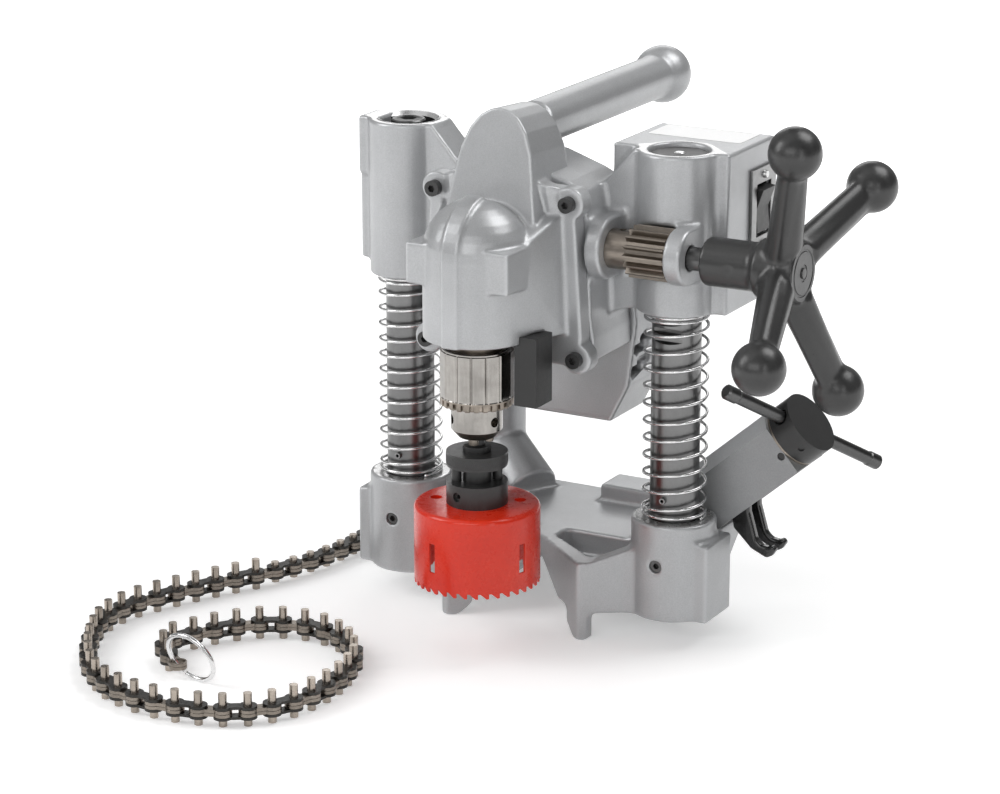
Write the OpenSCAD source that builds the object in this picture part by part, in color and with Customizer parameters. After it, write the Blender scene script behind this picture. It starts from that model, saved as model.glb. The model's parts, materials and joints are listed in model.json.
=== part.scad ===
// Pipe hole cutting machine: a motor head that slides on two columns above a pipe saddle,
// fed by a rack and pinion, with a chain vise that clamps the machine to a pipe.
// Millimetres, +Z up. Origin: on the floor, midway between the columns.
// -Y is the hole saw side, +X is the feed handle side.

/* [Frame] */
// Distance between the two column axes
column_spacing = 185; // [170:1:205]
// Column diameter
column_d = 30; // [27:1:32]
// Height of the right column's top above the floor
column_top = 299; // [296:1:302]
// Column boss diameter on the base
boss_d = 52; // [48:1:58]
// Height of the bosses' machined tops
boss_top = 78; // [74:1:84]
// Height of the base casting's underside
base_bottom = 17; // [14:1:20]
// Length of the saddle along the pipe
saddle_len = 140; // [130:1:150]
// Half width between the feet that straddle the pipe
saddle_half = 46; // [42:1:50]

/* [Head] */
// Distance of the spindle axis in front of the columns
spindle_forward = 80; // [76:1:86]
// Sleeve diameter around each column
sleeve_d = 49; // [46:1:52]
// Height of the sleeves' tops
sleeve_top = 305.6; // [304:0.2:308]
// Height of the sleeves' undersides
sleeve_bottom = 208; // [204:1:212]
// Feed travel of the head
feed_travel = 50; // [40:1:50]
// Diameter of the nose round the spindle
nose_d = 64; // [60:1:68]
// Height of the nose's rim
nose_bottom = 198; // [196:1:200]
// Height of the motor's axis
motor_z = 191; // [189:1:193]
// Diameter of the motor's end bell
bell_d = 104; // [98:1:106]
// Rear end of the motor behind the columns
motor_back = 150; // [145:1:160]
// Carrying handle diameter
handle_d = 28; // [24:1:30]
// Carrying handle's end ball
handle_ball_d = 32; // [30:1:36]
// Distance of the end ball's centre behind the columns
handle_reach = 168; // [160:1:180]

/* [Cutter] */
// Hole saw diameter
saw_d = 76.2; // [60:0.1:76.2]
// Hole saw height from cap to teeth
saw_h = 49; // [44:1:50]
// Height of the saw's cap
saw_top = 95.2; // [94:0.2:97]
// Chuck sleeve diameter
chuck_d = 44; // [40:1:45]

/* [Feed handle] */
// Feed gear module
gear_module = 1.8; // [1.7:0.05:1.85]
// Height of the feed shaft
feed_z = 248; // [246:1:250]
// Distance of the handle's balls from its shaft
spoke_reach = 86; // [78:1:90]
// Handle ball diameter
spoke_ball_d = 31; // [27:1:34]

/* [Chain vise] */
// Tilt of the vise arm above the floor
arm_angle = 41; // [38:1:43]
// Length of the vise arm
arm_len = 72; // [70:1:74]
// Width of the vise arm along the pipe
arm_w = 38; // [36:1:39]
// Vise screw head diameter
head_d = 40; // [36:1:42]
// Length of the cross bar
t_bar_len = 135; // [120:1:150]
// Chain pitch
chain_pitch = 14.4; // [14:0.1:15]
// Length of a chain pin
chain_pin_len = 20; // [18:0.5:22]

/* [Hidden] */
$fn = 48;
overrun = 1;
run_gap = 0.05;
move_gap = 0.4;
half = column_spacing / 2;
column_r = column_d / 2;
boss_r = boss_d / 2;
sleeve_r = sleeve_d / 2;
spindle_y = -spindle_forward;
blend_fn = 32;
post_fn = 24;
nose_fn = 64;
hex_fn = 6;

// Base casting
base_floor = 5;
column_foot = base_bottom + base_floor;
pad_out = 30;
pad_front = -16;
pad_back = 19;
pad_step = 12;
pad_top = boss_top - pad_step;
saddle_front = -38;
saddle_back = saddle_front + saddle_len;
deck_z = 50;
saddle_apex = 38;
plan_front_share = [1.5, 0.6];
plan_back_share = 1.45;
foot_w = 10;
foot_len = 12;
pocket_depth = 16;
pocket_points = [[9, 4.5], [45.5, -22], [63, -5], [58, 18], [9, 18]];
horn_foot = [-46, 73, 19];
horn_neck = [-78, 90, 17];
horn_top_z = 128;
horn_foot_z = 58;
name_pad = [62, 26, 12];
name_pad_at = [4, 74];
lug_y = 40;
lug_half = arm_w / 2;
lug_out = 5;
lug_in = 20;
lug_lip = 3;
boss_notch_z = 60;
anchor_drop = 14;
anchor_grip = 12;
arm_bolt_d = 8;
arm_bolt_grip = 14;
arm_bolt_head_d = 13;
arm_bolt_head_h = 5;

// Columns and springs
wire_d = 2;
spring_r = 19;
left_curls = 15;
right_curls = 14;
end_curls = 1.5;
end_gap = 0.7;
end_pitch = wire_d + end_gap;
rings_per_curl = 8;
wire_sides = 6;
roll_pin_d = 4;
roll_pin_rise = 13.5;
roll_pin_z = boss_top + roll_pin_rise;
roll_pin_out = 2.5;
roll_pin_in = 10;
roll_bore_d = 2;
set_screw_d = 8;
set_screw_drop = 26;
set_screw_z = boss_top - set_screw_drop;
set_screw_deep = 2;
set_socket_d = 4;
socket_deep = 3;
stop_d = 36;
stop_t = 4;
left_top_drop = 6;
left_top = column_top - left_top_drop;
washer_up_t = 3;
hex_share = 0.75;
bore_rim = 1;
stop_screw_d = 8;
stop_screw_head_d = 13;
stop_screw_head_h = 6;
stop_screw_len = 20;

// Rack and feed pinion
gear_teeth = 16;
gear_r = gear_module * gear_teeth / 2;
addendum_share = 0.83;
dedendum_share = 1.05;
tooth_share = 0.40;
tooth_tip_share = 0.19;
tooth_root_share = 0.55;
gear_add = gear_module * addendum_share;
rack_pitch = PI * gear_module;
rack_depth_share = 0.72;
rack_depth = gear_module * rack_depth_share;
rack_line = column_r - rack_depth;
feed_y = -(rack_line + gear_r);
gear_from_column = 15.5;
gear_x0 = half - gear_from_column;
gear_len = 26;
rack_half = gear_len / 2 + overrun;
rack_spare_teeth = 3;
rack_teeth_below = ceil((feed_travel + gear_module * rack_spare_teeth) / rack_pitch);
rack_teeth_above = 2;
feed_shaft_d = 14;
collar_d = 24;
collar_len = 14;
ear_t = 10;
ear_r = 19;
ear_front_t = 11;
ear_right_r = 17;
pin_d = 4;
pin_sunk = 1;
hub_d = 29;
hub_from_column = 33;
hub_x0 = half + hub_from_column;
hub_len = 35;
spider_len = 23;
spider_r = 18;
spoke_r0 = 11.5;
spoke_r1 = 8;
spoke_turn = 24.6;
spoke_out = 11;
shaft_end = hub_x0 + hub_len + spider_len / 2;
spoke_rise = spider_len / 2 + spoke_out;
hub_cap_d = 35;
hub_cap_t = 2;
hub_screw_d = 6;
hub_screw_sunk = 2;
hub_screw_share = 0.55;

// Gear case, cover and motor
case_front = -38;
case_back = 12;
case_half = 56;
case_top = 297;
case_bottom = 176;
wall = 7;
case_share = [[0, 1], [0.22, 0.99], [0.68, 0.92], [0.86, 0.88], [0.9, 0.8], [0.96, 0.25], [1, 0.14], [1, 0.03],
    [0.86, 0]];
cover_t = 12;
cover_share = [[0, 0.917], [0.714, 0.884], [0.875, 0.769], [0.964, 0.165], [0.893, 0.017]];
cover_screw_top = [45, 277];
cover_screw_low = [50.5, 183];
screw_lug_r = 9.5;
cover_face = case_front - cover_t;
handle_clear = 1.5;
handle_z = case_top + handle_clear + handle_d / 2;
fin_rise = 22.5;
fin_top = handle_z + fin_rise;
fin_face_top = -37;
fin_face_low = -70;
fin_z0 = 252;
fin_back_top = -14;
fin_share = [[0, 1], [0.16, 0.985], [0.34, 0.93], [0.52, 0.82], [0.68, 0.66], [0.8, 0.45], [0.9, 0.24], [1, 0]];
fin_half = 33;
nose_r = nose_d / 2;
nose_round_z = 250;
dome_h = 32;
nose_bore_r = 24;
nose_inside_r = 27;
nose_pad_half = 34;
nose_pad_z = [232, 257];
nose_pad_y = [-105, -52];
cover_side_half = 40;
nose_root_share = 1.1;
rib_half = 5.5;
rib_t = 2;
neck_clear = 1;
bevel_room_share = 1.5;
bevel_room_end = 3;
cap_screw_d = 9.5;
cap_screw_h = 5;
cap_socket_d = 4.6;
cap_thread_d = 5;
cap_thread_len = 24;
motor_front = case_back;
motor_step = 58;
motor_half_h = 65;
motor_share = [[0.65, -1], [0.84, -0.62], [0.92, 0], [0.84, 0.62], [0.65, 1]];
motor_bore_r = 47;
bell_rim = 8;
bell_rim_share = 0.95;
bell_wall = 5;
bell_vent_w = 5;
bell_vent_len = 40;
bell_vents = 12;
side_vent = [4.5, 17, 9];
side_vent_z = [162, 177];
bell_screw_r = 60;
bell_screw_d = 6;
bell_screw_h = 4;

// Switch box on the right sleeve
box_in = 42.5;
box_out = 33.5;
box_x0 = half - box_in;
box_x1 = half + box_out;
box_y0 = -3;
box_y1 = 62;
shelf_drop = 42;
shelf_z = sleeve_top - shelf_drop;
box_main_in = 28.5;
box_main_x0 = half - box_main_in;
switch_drop = 41;
switch_z = sleeve_top - switch_drop;
switch_y = 43.5;
plate_h = 52;
plate_w = 34;
plate_t = 2;
rocker_h = 30;
rocker_w = 18;
rocker_t = 7;
rocker_gap = 1;
rocker_lip = 2;
switch_deep = 24;
switch_hole = [rocker_w + 2 * rocker_gap, rocker_h + 2 * rocker_gap];
plate_screw_taper = 1;
plate_screw_d = 5;
plate_screw_h = 2;
gland_d = 16;
gland_len = 14;
gland_bore_d = 8;
gland_out = 10;
gland_rise = 26;
gland_share = [0.85, 0.65];
gland_x = half + gland_out;
gland_z = sleeve_bottom + gland_rise;

// Gear train
bevel_z = 223;
face_teeth = 30;
face_module = 1.6;
face_r = face_teeth * face_module / 2;
face_t = 7;
bevel_teeth = 10;
bevel_r = bevel_teeth * face_module / 2;
lay_z = bevel_z + bevel_r;
train_drop = lay_z - motor_z;
lay_teeth = 44;
motor_teeth = 10;
lay_module = 2 * train_drop / (lay_teeth + motor_teeth);
lay_gear_y = -22;
lay_gear_t = 8;
lay_shaft_d = 9;
lay_nose = 4;
lay_pinion_t = 5;
face_rim = 2;
face_tooth_in = 4;
face_tooth_share = [0.23, 0.9, 0.7];
spindle_step = 3;
motor_shaft_d = 8;
shaft_clear = 2;
brush_inset = 2;
core_d = 46;
core_y = [44, 92];
stator_d = 2 * motor_bore_r;
stator_bore_d = 50;
commutator_d = 24;
commutator_y = [98, 114];
fan_d = 78;
fan_y = [22, 34];
fan_hub_d = 18;
fan_blades = 12;
fan_blade_t = 2.4;
fan_disc_t = 2;
brush_z_half = 4;
brush_len = 9;
bearing_t = 9;
bearing_d = 24;
big_bearing_d = 36;
upper_bearing_d = 28;
spindle_d = 17;
spindle_neck_d = 12;
spindle_top = 267;
nose_rim = 5;
spindle_low_bearing = nose_bottom + nose_rim;
spindle_high_bearing = 256;
case_wall = 9;
web_share = 0.55;
web_top_share = 0.95;
strip_half = 8;
cavity_share = 2.5;

// Chuck and arbor
chuck_r = chuck_d / 2;
chuck_low = 157;
chuck_high = 192;
chuck_teeth_z = 162;
chuck_nose_z = 136.7;
chuck_nose_share = [0.5, 0.7];
sleeve_wall = 3;
chuck_body_r = chuck_r - sleeve_wall;
chuck_mouth_r = 6.4;
chuck_nose_r = [for (s = chuck_nose_share) chuck_r * s];
chuck_nose_edge = 5;
chuck_step = 2;
chuck_neck = 4;
chuck_body_top = chuck_high + chuck_neck;
spindle_grip = 20;
spindle_socket = chuck_high - spindle_grip;
key_hole_d = 6;
key_hole_z = 148;
key_hole_deep = 7;
key_turns = [73, -47, 193];
flute_d = 3;
flute_count = 24;
flute_share = 0.3;
flute_rise = 3;
key_tooth_h = 4;
chuck_edge = 1;
shank_d = 9.5;
shank_top = 168;
jaw_d = 6.2;
jaw_tilt = 12;
jaw_len = 26;
jaw_axis_r = 6.9;
jaw_z = 133;
jaw_turn = 43;
seal_t = 3;
collar_ring_d = 37;
arbor_collar_h = 13.8;
arbor_body_d = 17;
arbor_top = 131;
arbor_set_z = saw_top + arbor_collar_h / 2;
arbor_set_turn = -12;
ring_z = 119;
ring_t = 8.5;
drive_pin_d = 6;
drive_pin_at = 12.5;
drive_pin_turns = [40, 220];
saw_wall = 1.5;
saw_cap_t = 5;
saw_teeth = 36;
saw_tooth_h = 3;
saw_slot = [4.5, 18];
saw_slot_drop = 27;
saw_slot_z = saw_top - saw_slot_drop;
saw_slot_turn = -16;
saw_hole_at = 26;
saw_hole_d = 7;
saw_hole_turns = [35, 191];
saw_edge_r = 3;
saw_gullet_share = 0.92;
pilot_d = 6.4;
pilot_proud = 4;
holder_x = [28.5, 43];
holder_y = [-86, -66];
holder_z = [161, 203];

// Vise, in the arm's own tilted frame
arm_reach = 58.5;
arm_end_z = 125.6;
arm_end = [half + arm_reach, lug_y, arm_end_z];
arm_h = 40;
arm_foot = [arm_end[0] - arm_len * cos(arm_angle), arm_end[2] - arm_len * sin(arm_angle)];
arm_across = [arm_h / 2 * sin(arm_angle), arm_h / 2 * cos(arm_angle)];
arm_wall = 4;
arm_bevel = 8;
arm_slot_w = 24;
arm_plate = 5;
washer_t = 1.5;
head_t = 15.5;
vise_screw_d = 12;
tail_clear = 12;
vise_tail = arm_len - tail_clear;
t_bar_d = 9.5;
t_bar_end_d = 10.5;
t_bar_end_len = 6;
hook_block = [20, 22, 22];
hook_front = 13;
hook_back = arm_len - hook_block[0] - hook_front;
prong_t = 6;
prong_gap = 9.2;
prong_reach = 49;
arm_pin_d = 5;
arm_pin_back = 3;
arm_pin_share = 0.17;
prong_in = 2;
prong_share = [[-0.31, -0.22], [0.02, -0.22], [-0.16, -0.46], [-0.31, -0.79], [-0.3, -0.88], [-0.24, -0.95],
    [-0.17, -0.97], [-0.17, -1.04], [-0.26, -1.07], [-0.35, -1.05], [-0.45, -0.84], [-0.48, -0.5]];
head_pin_d = 4;
head_pin_len = 7;
head_pin_turn = 70;
bar_share = 0.58;
bar_s = washer_t + head_t * bar_share;
bar_turn = -39.8;
screw_end = bar_s - t_bar_d / 2 - end_gap;

// Chain: runs of links, each with its count and its turn per link in degrees
chain_start = [-140.4, 47.6];
chain_heading = -161;
chain_runs = [[1, 0], [1, 71.2], [7, -4.4], [5, 2.1], [4, 10.6], [4, 4.4], [4, 9], [4, 8.3], [4, 14.5], [4, 7.5],
    [4, 13.1], [4, 16.5], [2, 8.4], [1, 2.4], [2, 36.1], [1, 9]];
short_pins = 8;
short_pin_len = 13.4;
chain_pin_d = 5;
plate_r_share = 0.38;
plate_end_r = chain_pitch * plate_r_share;
waist_share = 0.62;
plate_thick = 1.6;
leaf_thick = 2.1;
plate_gap = 0.1;
chain_mid = 8.6;
inner_z = chain_mid - plate_gap / 2 - leaf_thick;
outer_z = inner_z - plate_gap - plate_thick;
part_end_share = [1 / 3, 2 / 3];
anchor_d = 10;
ring_wire_d = 3;
ring_mean_r = 16.5;
ring_hole_d = 8.4;
ring_turn = -7;
ring_lean = 110.7;
ring_at = 213;
ring_shift = 0.6;
ring_cut = 1.5;
ring_cut_at = 236;

// Turn made by each link, and each pin's place
link_turns = [for (r = chain_runs, i = [1:r[0]]) r[1]];
link_count = len(link_turns);
function heading(i) = i < 0 ? chain_heading : heading(i - 1) + link_turns[i];
headings = [for (i = [0:link_count - 1]) heading(i)];
function pin_at(i) = i == 0 ? chain_start :
    pin_at(i - 1) + chain_pitch * [cos(headings[i - 1]), sin(headings[i - 1])];
pins = [for (i = [0:link_count]) pin_at(i)];
part_ends = [for (s = part_end_share) 2 * floor(s * link_count / 2) + 1];

function mean(pair) = (pair[0] + pair[1]) / 2;

module ring(outer, inner, height) {
    difference() {
        cylinder(d = outer, h = height);
        translate([0, 0, -overrun]) cylinder(d = inner, h = height + 2 * overrun);
    }
}

module grub_screw(foot, top) {
    difference() {
        translate([0, 0, foot]) cylinder(d = hub_screw_d, h = top - foot);
        translate([0, 0, top - socket_deep])
            cylinder(d = hub_screw_d / 2, h = socket_deep + overrun, $fn = hex_fn);
    }
}

module along_y(y) { translate([0, y, 0]) rotate([-90, 0, 0]) children(); }
module along_x(x) { translate([x, 0, 0]) rotate([0, 90, 0]) children(); }
module front_view(y0, y1) {
    translate([0, y1, 0]) rotate([90, 0, 0]) linear_extrude(height = y1 - y0) children();
}
module side_view(x0, x1) {
    translate([x0, 0, 0]) rotate([90, 0, 90]) linear_extrude(height = x1 - x0) children();
}
module both_sides() { for (side = [-1, 1]) translate([side * half, 0, 0]) children(); }
module at_spindle() { translate([0, spindle_y, 0]) children(); }
module at_arm() { translate(arm_end) rotate([0, -arm_angle, 0]) children(); }

// Straight-sided gear outline with its middle tooth on +X
module gear_outline(teeth, module_size) {
    pitch_r = teeth * module_size / 2;
    step = 360 / teeth;
    root = pitch_r - module_size * dedendum_share;
    tip = pitch_r + module_size * addendum_share;
    polygon([for (i = [0:teeth - 1], k = [0:3])
        let (a = step * (i + (k < 2 ? -1 : 1) * (k == 0 || k == 3 ? tooth_root_share : tooth_tip_share) / 2),
             r = k == 0 || k == 3 ? root : tip)
        [r * cos(a), r * sin(a)]]);
}

/* Base */

module base_plan() {
    front = [saddle_half * plan_front_share[0], saddle_front * plan_front_share[1]];
    back = saddle_half * plan_back_share;
    polygon([[-half, pad_front], [-front[0], front[1]], [-saddle_half, saddle_front], [0, 0],
        [saddle_half, saddle_front], front, [half, pad_front], [half, lug_y + lug_half],
        [back, saddle_back], [-back, saddle_back], [-half, lug_y + lug_half]]);
}

module base_front_view() {
    w = saddle_half + foot_w / 2;
    i = saddle_half - foot_w / 2;
    polygon([[-half, base_bottom], [-w, base_bottom], [-w, 0], [-i, 0], [0, saddle_apex], [i, 0], [w, 0],
        [w, base_bottom], [half, base_bottom], [half, pad_top], [w, deck_z], [-w, deck_z], [-half, pad_top]]);
}

module base_casting() color("silver") {
    difference() {
        union() {
            difference() {
                both_sides() translate([0, 0, base_bottom]) cylinder(r = boss_r, h = boss_top - base_bottom);
                translate([half - boss_r, lug_y - lug_half - overrun, boss_notch_z])
                    cube([2 * boss_r, boss_r, boss_top]);
            }
            intersection() {
                linear_extrude(height = pad_top) base_plan();
                front_view(saddle_front, saddle_back) base_front_view();
            }
            for (side = [-1, 1]) {
                translate([side * (half + pad_out / 2), (pad_front + pad_back) / 2, (base_bottom + pad_top) / 2])
                    cube([pad_out, pad_back - pad_front, pad_top - base_bottom], center = true);
            }
            front_view(lug_y - lug_half, lug_y + lug_half) arm_lug();
            front_view(lug_y - lug_half, lug_y + lug_half) anchor_lug();
            translate([name_pad_at[0], name_pad_at[1], deck_z]) cube(name_pad);
            horn();
        }
        both_sides() translate([0, 0, column_foot]) cylinder(r = column_r, h = boss_top);
        both_sides() translate([0, 0, set_screw_z]) rotate([90, 0, 0])
            cylinder(d = set_screw_d, h = boss_r + overrun);
        for (side = [-1, 1]) pocket(side);
        translate([-saddle_half - foot_w, saddle_front + foot_len, -overrun])
            cube([2 * (saddle_half + foot_w), saddle_len - 2 * foot_len, base_bottom + overrun]);
        at_arm() side_view(-arm_len, 0) arm_section();
        at_arm() side_view(-arm_len - arm_bolt_grip, -arm_len + overrun) circle(d = arm_bolt_d);
        translate([0, chain_start[1], chain_mid]) along_x(-half - lug_out - overrun)
            cylinder(d = anchor_d + 2 * run_gap, h = anchor_grip + overrun);
    }
}

module arm_lug() {
    polygon([[half - lug_in, pad_top], [half - lug_in, base_bottom], [half + lug_out, base_bottom],
        [arm_foot[0] + arm_across[0] + lug_lip, arm_foot[1] - arm_across[1] - lug_lip],
        [arm_foot[0] + arm_across[0] + lug_lip, arm_foot[1] - arm_across[1] + lug_lip],
        [arm_foot[0] - arm_across[0] + lug_lip, arm_foot[1] + arm_across[1]],
        [arm_foot[0] - arm_across[0] - 2 * lug_lip, arm_foot[1] + arm_across[1]]]);
}

module anchor_lug() {
    polygon([[lug_in - half, pad_top], [lug_in - half, base_bottom - anchor_drop],
        [-half - lug_out, base_bottom - anchor_drop], [-half - lug_out, pad_top - lug_out], [-half, pad_top]]);
}

module horn() {
    rise = horn_foot_z + pocket_depth - deck_z;
    run = [horn_neck[0] - horn_foot[0], horn_neck[1] - horn_foot[1]];
    translate([horn_foot[0], horn_foot[1], deck_z]) rotate([0, atan2(norm(run), rise), atan2(run[1], run[0])])
        cylinder(r1 = horn_foot[2], r2 = horn_neck[2], h = norm([run[0], run[1], rise]));
    translate([horn_neck[0], horn_neck[1], deck_z + rise]) {
        sphere(r = horn_neck[2] + overrun);
        cylinder(r = horn_neck[2], h = horn_top_z - horn_neck[2] - deck_z - rise);
    }
    translate([horn_neck[0], horn_neck[1], horn_top_z - horn_neck[2]]) sphere(r = horn_neck[2]);
}

module pocket(side) {
    translate([0, 0, deck_z - pocket_depth]) linear_extrude(height = pocket_depth + boss_top)
        polygon([for (p = pocket_points) [side * p[0], p[1]]]);
}

/* Columns, springs and their fittings */

module column(top) {
    difference() {
        translate([0, 0, column_foot]) cylinder(r = column_r, h = top - column_foot);
        translate([0, 0, roll_pin_z]) rotate([90, 0, 0]) translate([0, 0, column_r - roll_pin_in])
            cylinder(d = roll_pin_d, h = roll_pin_in + overrun);
        translate([0, 0, top - stop_screw_len]) cylinder(d = stop_screw_d, h = stop_screw_len + overrun);
    }
}

module left_column() color("dimgray") translate([-half, 0, 0]) column(left_top);

module rack_notch(z) {
    root = rack_line - gear_add - gear_module / 4;
    slope = tan(20);
    mid = rack_pitch * (1 - tooth_share) / 2;
    side_view(half - rack_half, half + rack_half) polygon([
        [-root, z - mid + slope * (rack_line - root)], [-root, z + mid - slope * (rack_line - root)],
        [-column_r - overrun, z + mid + slope * (column_r + overrun - rack_line)],
        [-column_r - overrun, z - mid - slope * (column_r + overrun - rack_line)]]);
}

module right_column() color("dimgray") difference() {
    translate([half, 0, 0]) column(column_top);
    for (i = [-rack_teeth_below:rack_teeth_above]) rack_notch(feed_z + i * rack_pitch);
}

module column_roll_pins() color("gray") both_sides() translate([0, 0, roll_pin_z]) rotate([90, 0, 0])
    translate([0, 0, column_r - roll_pin_in]) ring(roll_pin_d, roll_bore_d, roll_pin_in + roll_pin_out);

module column_set_screws() color("dimgray") both_sides() translate([0, 0, set_screw_z]) rotate([90, 0, 0])
    difference() {
        translate([0, 0, column_r]) cylinder(d = set_screw_d, h = boss_r - column_r - set_screw_deep);
        translate([0, 0, boss_r - set_screw_deep - socket_deep])
            cylinder(d = set_socket_d, h = socket_deep + overrun, $fn = hex_fn);
    }

module left_stop_screw() color("dimgray") {
    translate([-half, 0, left_top]) ring(stop_d, stop_screw_d + 2 * run_gap, washer_up_t);
    translate([-half, 0, left_top + washer_up_t]) stop_screw();
}

module stop_screw() difference() {
    union() {
        translate([0, 0, -stop_screw_len]) cylinder(d = stop_screw_d, h = stop_screw_len);
        cylinder(d = stop_screw_head_d, h = stop_screw_head_h);
    }
    translate([0, 0, stop_screw_head_h - socket_deep])
        cylinder(d = stop_screw_d * hex_share, h = socket_deep + overrun, $fn = hex_fn);
}

module right_stop_cap() color("silver") translate([half, 0, column_top]) union() {
    cylinder(d = stop_d, h = stop_t - bore_rim);
    cylinder(d1 = stop_d, d2 = stop_d - 2 * bore_rim, h = stop_t);
    translate([0, 0, -stop_screw_len]) cylinder(d = stop_screw_d, h = stop_screw_len);
}

// Height of a spring's wire after t curls; its end curls lie close
spring_len = sleeve_bottom - boss_top - wire_d - run_gap;
function active_pitch(n) = (spring_len - 2 * end_curls * end_pitch) / (n - 2 * end_curls);
function spring_rise(t, n) = t < end_curls ? t * end_pitch :
    t > n - end_curls ? spring_len - (n - t) * end_pitch :
    end_curls * end_pitch + (t - end_curls) * active_pitch(n);
function pin_curl(n) =
    end_curls + (roll_pin_z - boss_top - wire_d / 2 - end_curls * end_pitch) / active_pitch(n) - 1 / 2;
function spring_point(k, s, n) =
    let (t = k / rings_per_curl, a = 270 + 360 * (t - pin_curl(n)), b = 360 * s / wire_sides,
         r = spring_r + wire_d / 2 * cos(b))
    [r * cos(a), r * sin(a), boss_top + wire_d / 2 + spring_rise(t, n) + wire_d / 2 * sin(b)];
function spring_gap(n) = min([for (k = [0:(n - 1) * rings_per_curl])
    spring_rise((k + rings_per_curl) / rings_per_curl, n) - spring_rise(k / rings_per_curl, n) - wire_d]);

module spring(n) {
    rings = n * rings_per_curl;
    last = rings * wire_sides;
    polyhedron(
        points = [for (k = [0:rings], s = [0:wire_sides - 1]) spring_point(k, s, n)],
        faces = concat(
            [for (s = [1:wire_sides - 2]) [0, s, s + 1]],
            [for (s = [1:wire_sides - 2]) [last, last + s + 1, last + s]],
            [for (k = [0:rings - 1], s = [0:wire_sides - 1])
                let (a = k * wire_sides, b = a + wire_sides, u = (s + 1) % wire_sides) [a + s, b + s, b + u]],
            [for (k = [0:rings - 1], s = [0:wire_sides - 1])
                let (a = k * wire_sides, b = a + wire_sides, u = (s + 1) % wire_sides) [a + s, b + u, a + u]]));
    echo(least_spring_gap = spring_gap(n));
}

module left_spring() color("lightgray") translate([-half, 0, 0]) spring(left_curls);
module right_spring() color("lightgray") translate([half, 0, 0]) spring(right_curls);

/* Head */

function mirrored(points) = concat(points,
    [for (i = [len(points) - 1:-1:0]) if (points[i][0] > 0) [-points[i][0], points[i][1]]]);

module case_outline() {
    polygon(mirrored([for (p = case_share) [p[0] * case_half, case_bottom + p[1] * (case_top - case_bottom)]]));
}

module motor_outline(scale_by) {
    reach = motor_half_h * scale_by;
    polygon(mirrored([for (p = motor_share) [p[0] * reach, motor_z + p[1] * reach]]));
}

module sleeve_web(side) {
    front_view(-sleeve_r * web_share, case_back) polygon([
        [side * half, sleeve_bottom + wall], [side * half, sleeve_top],
        [side * (half - sleeve_r * web_top_share), sleeve_top], [side * (case_half - wall), case_top - 2 * wall],
        [side * (case_half - 2 * wall), sleeve_bottom - wall]]);
}

module ear(x, thick, r) {
    hull() {
        translate([0, feed_y, feed_z]) along_x(x) cylinder(r = r, h = thick, $fn = blend_fn);
        translate([x, -overrun, feed_z - r]) cube([thick, overrun, 2 * r]);
    }
}

module carriage_casting() color("silver") {
    left_ear_x = gear_x0 - collar_len - ear_t;
    right_ear_x = gear_x0 + gear_len + move_gap;
    difference() {
        union() {
            front_view(case_front, case_back) case_outline();
            both_sides() translate([0, 0, sleeve_bottom])
                cylinder(r = sleeve_r, h = sleeve_top - sleeve_bottom);
            for (side = [-1, 1]) sleeve_web(side);
            translate([box_main_x0, box_y0, sleeve_bottom])
                cube([box_x1 - box_main_x0, box_y1 - box_y0, sleeve_top - sleeve_bottom]);
            translate([box_x0, box_y0, shelf_z])
                cube([box_main_x0 - box_x0, box_y1 - box_y0, sleeve_top - shelf_z]);
            translate([-half - pad_out, -strip_half, sleeve_bottom + wall])
                cube([pad_out, 2 * strip_half, sleeve_top - sleeve_bottom - 2 * wall]);
            ear(left_ear_x, ear_t, ear_r);
            ear(right_ear_x, ear_front_t, ear_right_r);
        }
        both_sides() translate([0, 0, sleeve_bottom - overrun])
            cylinder(r = column_r + run_gap, h = sleeve_top - sleeve_bottom + 2 * overrun);
        for (s = [[-1, left_top], [1, column_top]]) translate([s[0] * half, 0, s[1] - run_gap])
            cylinder(d = stop_d + 2 * move_gap, h = sleeve_top);
        translate([0, feed_y, feed_z]) {
            along_x(left_ear_x - overrun) cylinder(d = feed_shaft_d + 2 * run_gap, h = column_spacing);
            along_x(gear_x0 - collar_len)
                cylinder(r = gear_r + gear_add + overrun, h = collar_len + gear_len + move_gap);
        }
        cavity = case_half - 2 * wall;
        translate([-cavity, case_front - overrun, case_bottom + wall / 2])
            cube([2 * cavity, case_back - case_wall - case_front + overrun,
                case_top - case_bottom - cavity_share * wall]);
        for (z = [motor_z, lay_z]) translate([0, 0, z]) along_y(case_back - case_wall - overrun)
            cylinder(d = bearing_d, h = case_wall + 2 * overrun);
        for (p = cover_screws()) translate([p[0], 0, p[1]]) along_y(case_front - overrun)
            cylinder(d = cap_thread_d, h = cap_thread_len - cover_t + overrun);
        translate([box_x1 - switch_deep, switch_y - switch_hole[0] / 2, switch_z - switch_hole[1] / 2])
            cube([switch_deep + overrun, switch_hole[0], switch_hole[1]]);
        translate([gland_x, 0, gland_z]) along_y(box_y1 - gland_len)
            cylinder(d = gland_bore_d, h = gland_len + overrun);
    }
}

function cover_screws() = [for (side = [-1, 1], p = [cover_screw_top, cover_screw_low]) [side * p[0], p[1]]];

module cover_plate() {
    polygon(mirrored([for (p = cover_share) [p[0] * case_half, case_bottom + p[1] * (case_top - case_bottom)]]));
}

module fin() {
    intersection() {
        front_view(fin_face_low - overrun, 0) polygon(mirrored(
            [for (i = [len(fin_share) - 1:-1:0]) let (p = fin_share[i])
                [fin_half * p[0], fin_z0 + p[1] * (fin_top - fin_z0)]]));
        side_view(-fin_half, fin_half) polygon([[fin_face_low, fin_z0], [fin_face_top, fin_top],
            [fin_back_top, fin_top], [fin_back_top, handle_z - handle_d / 2],
            [case_front, handle_z - handle_d / 2], [case_front, fin_z0]]);
    }
}

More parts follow.
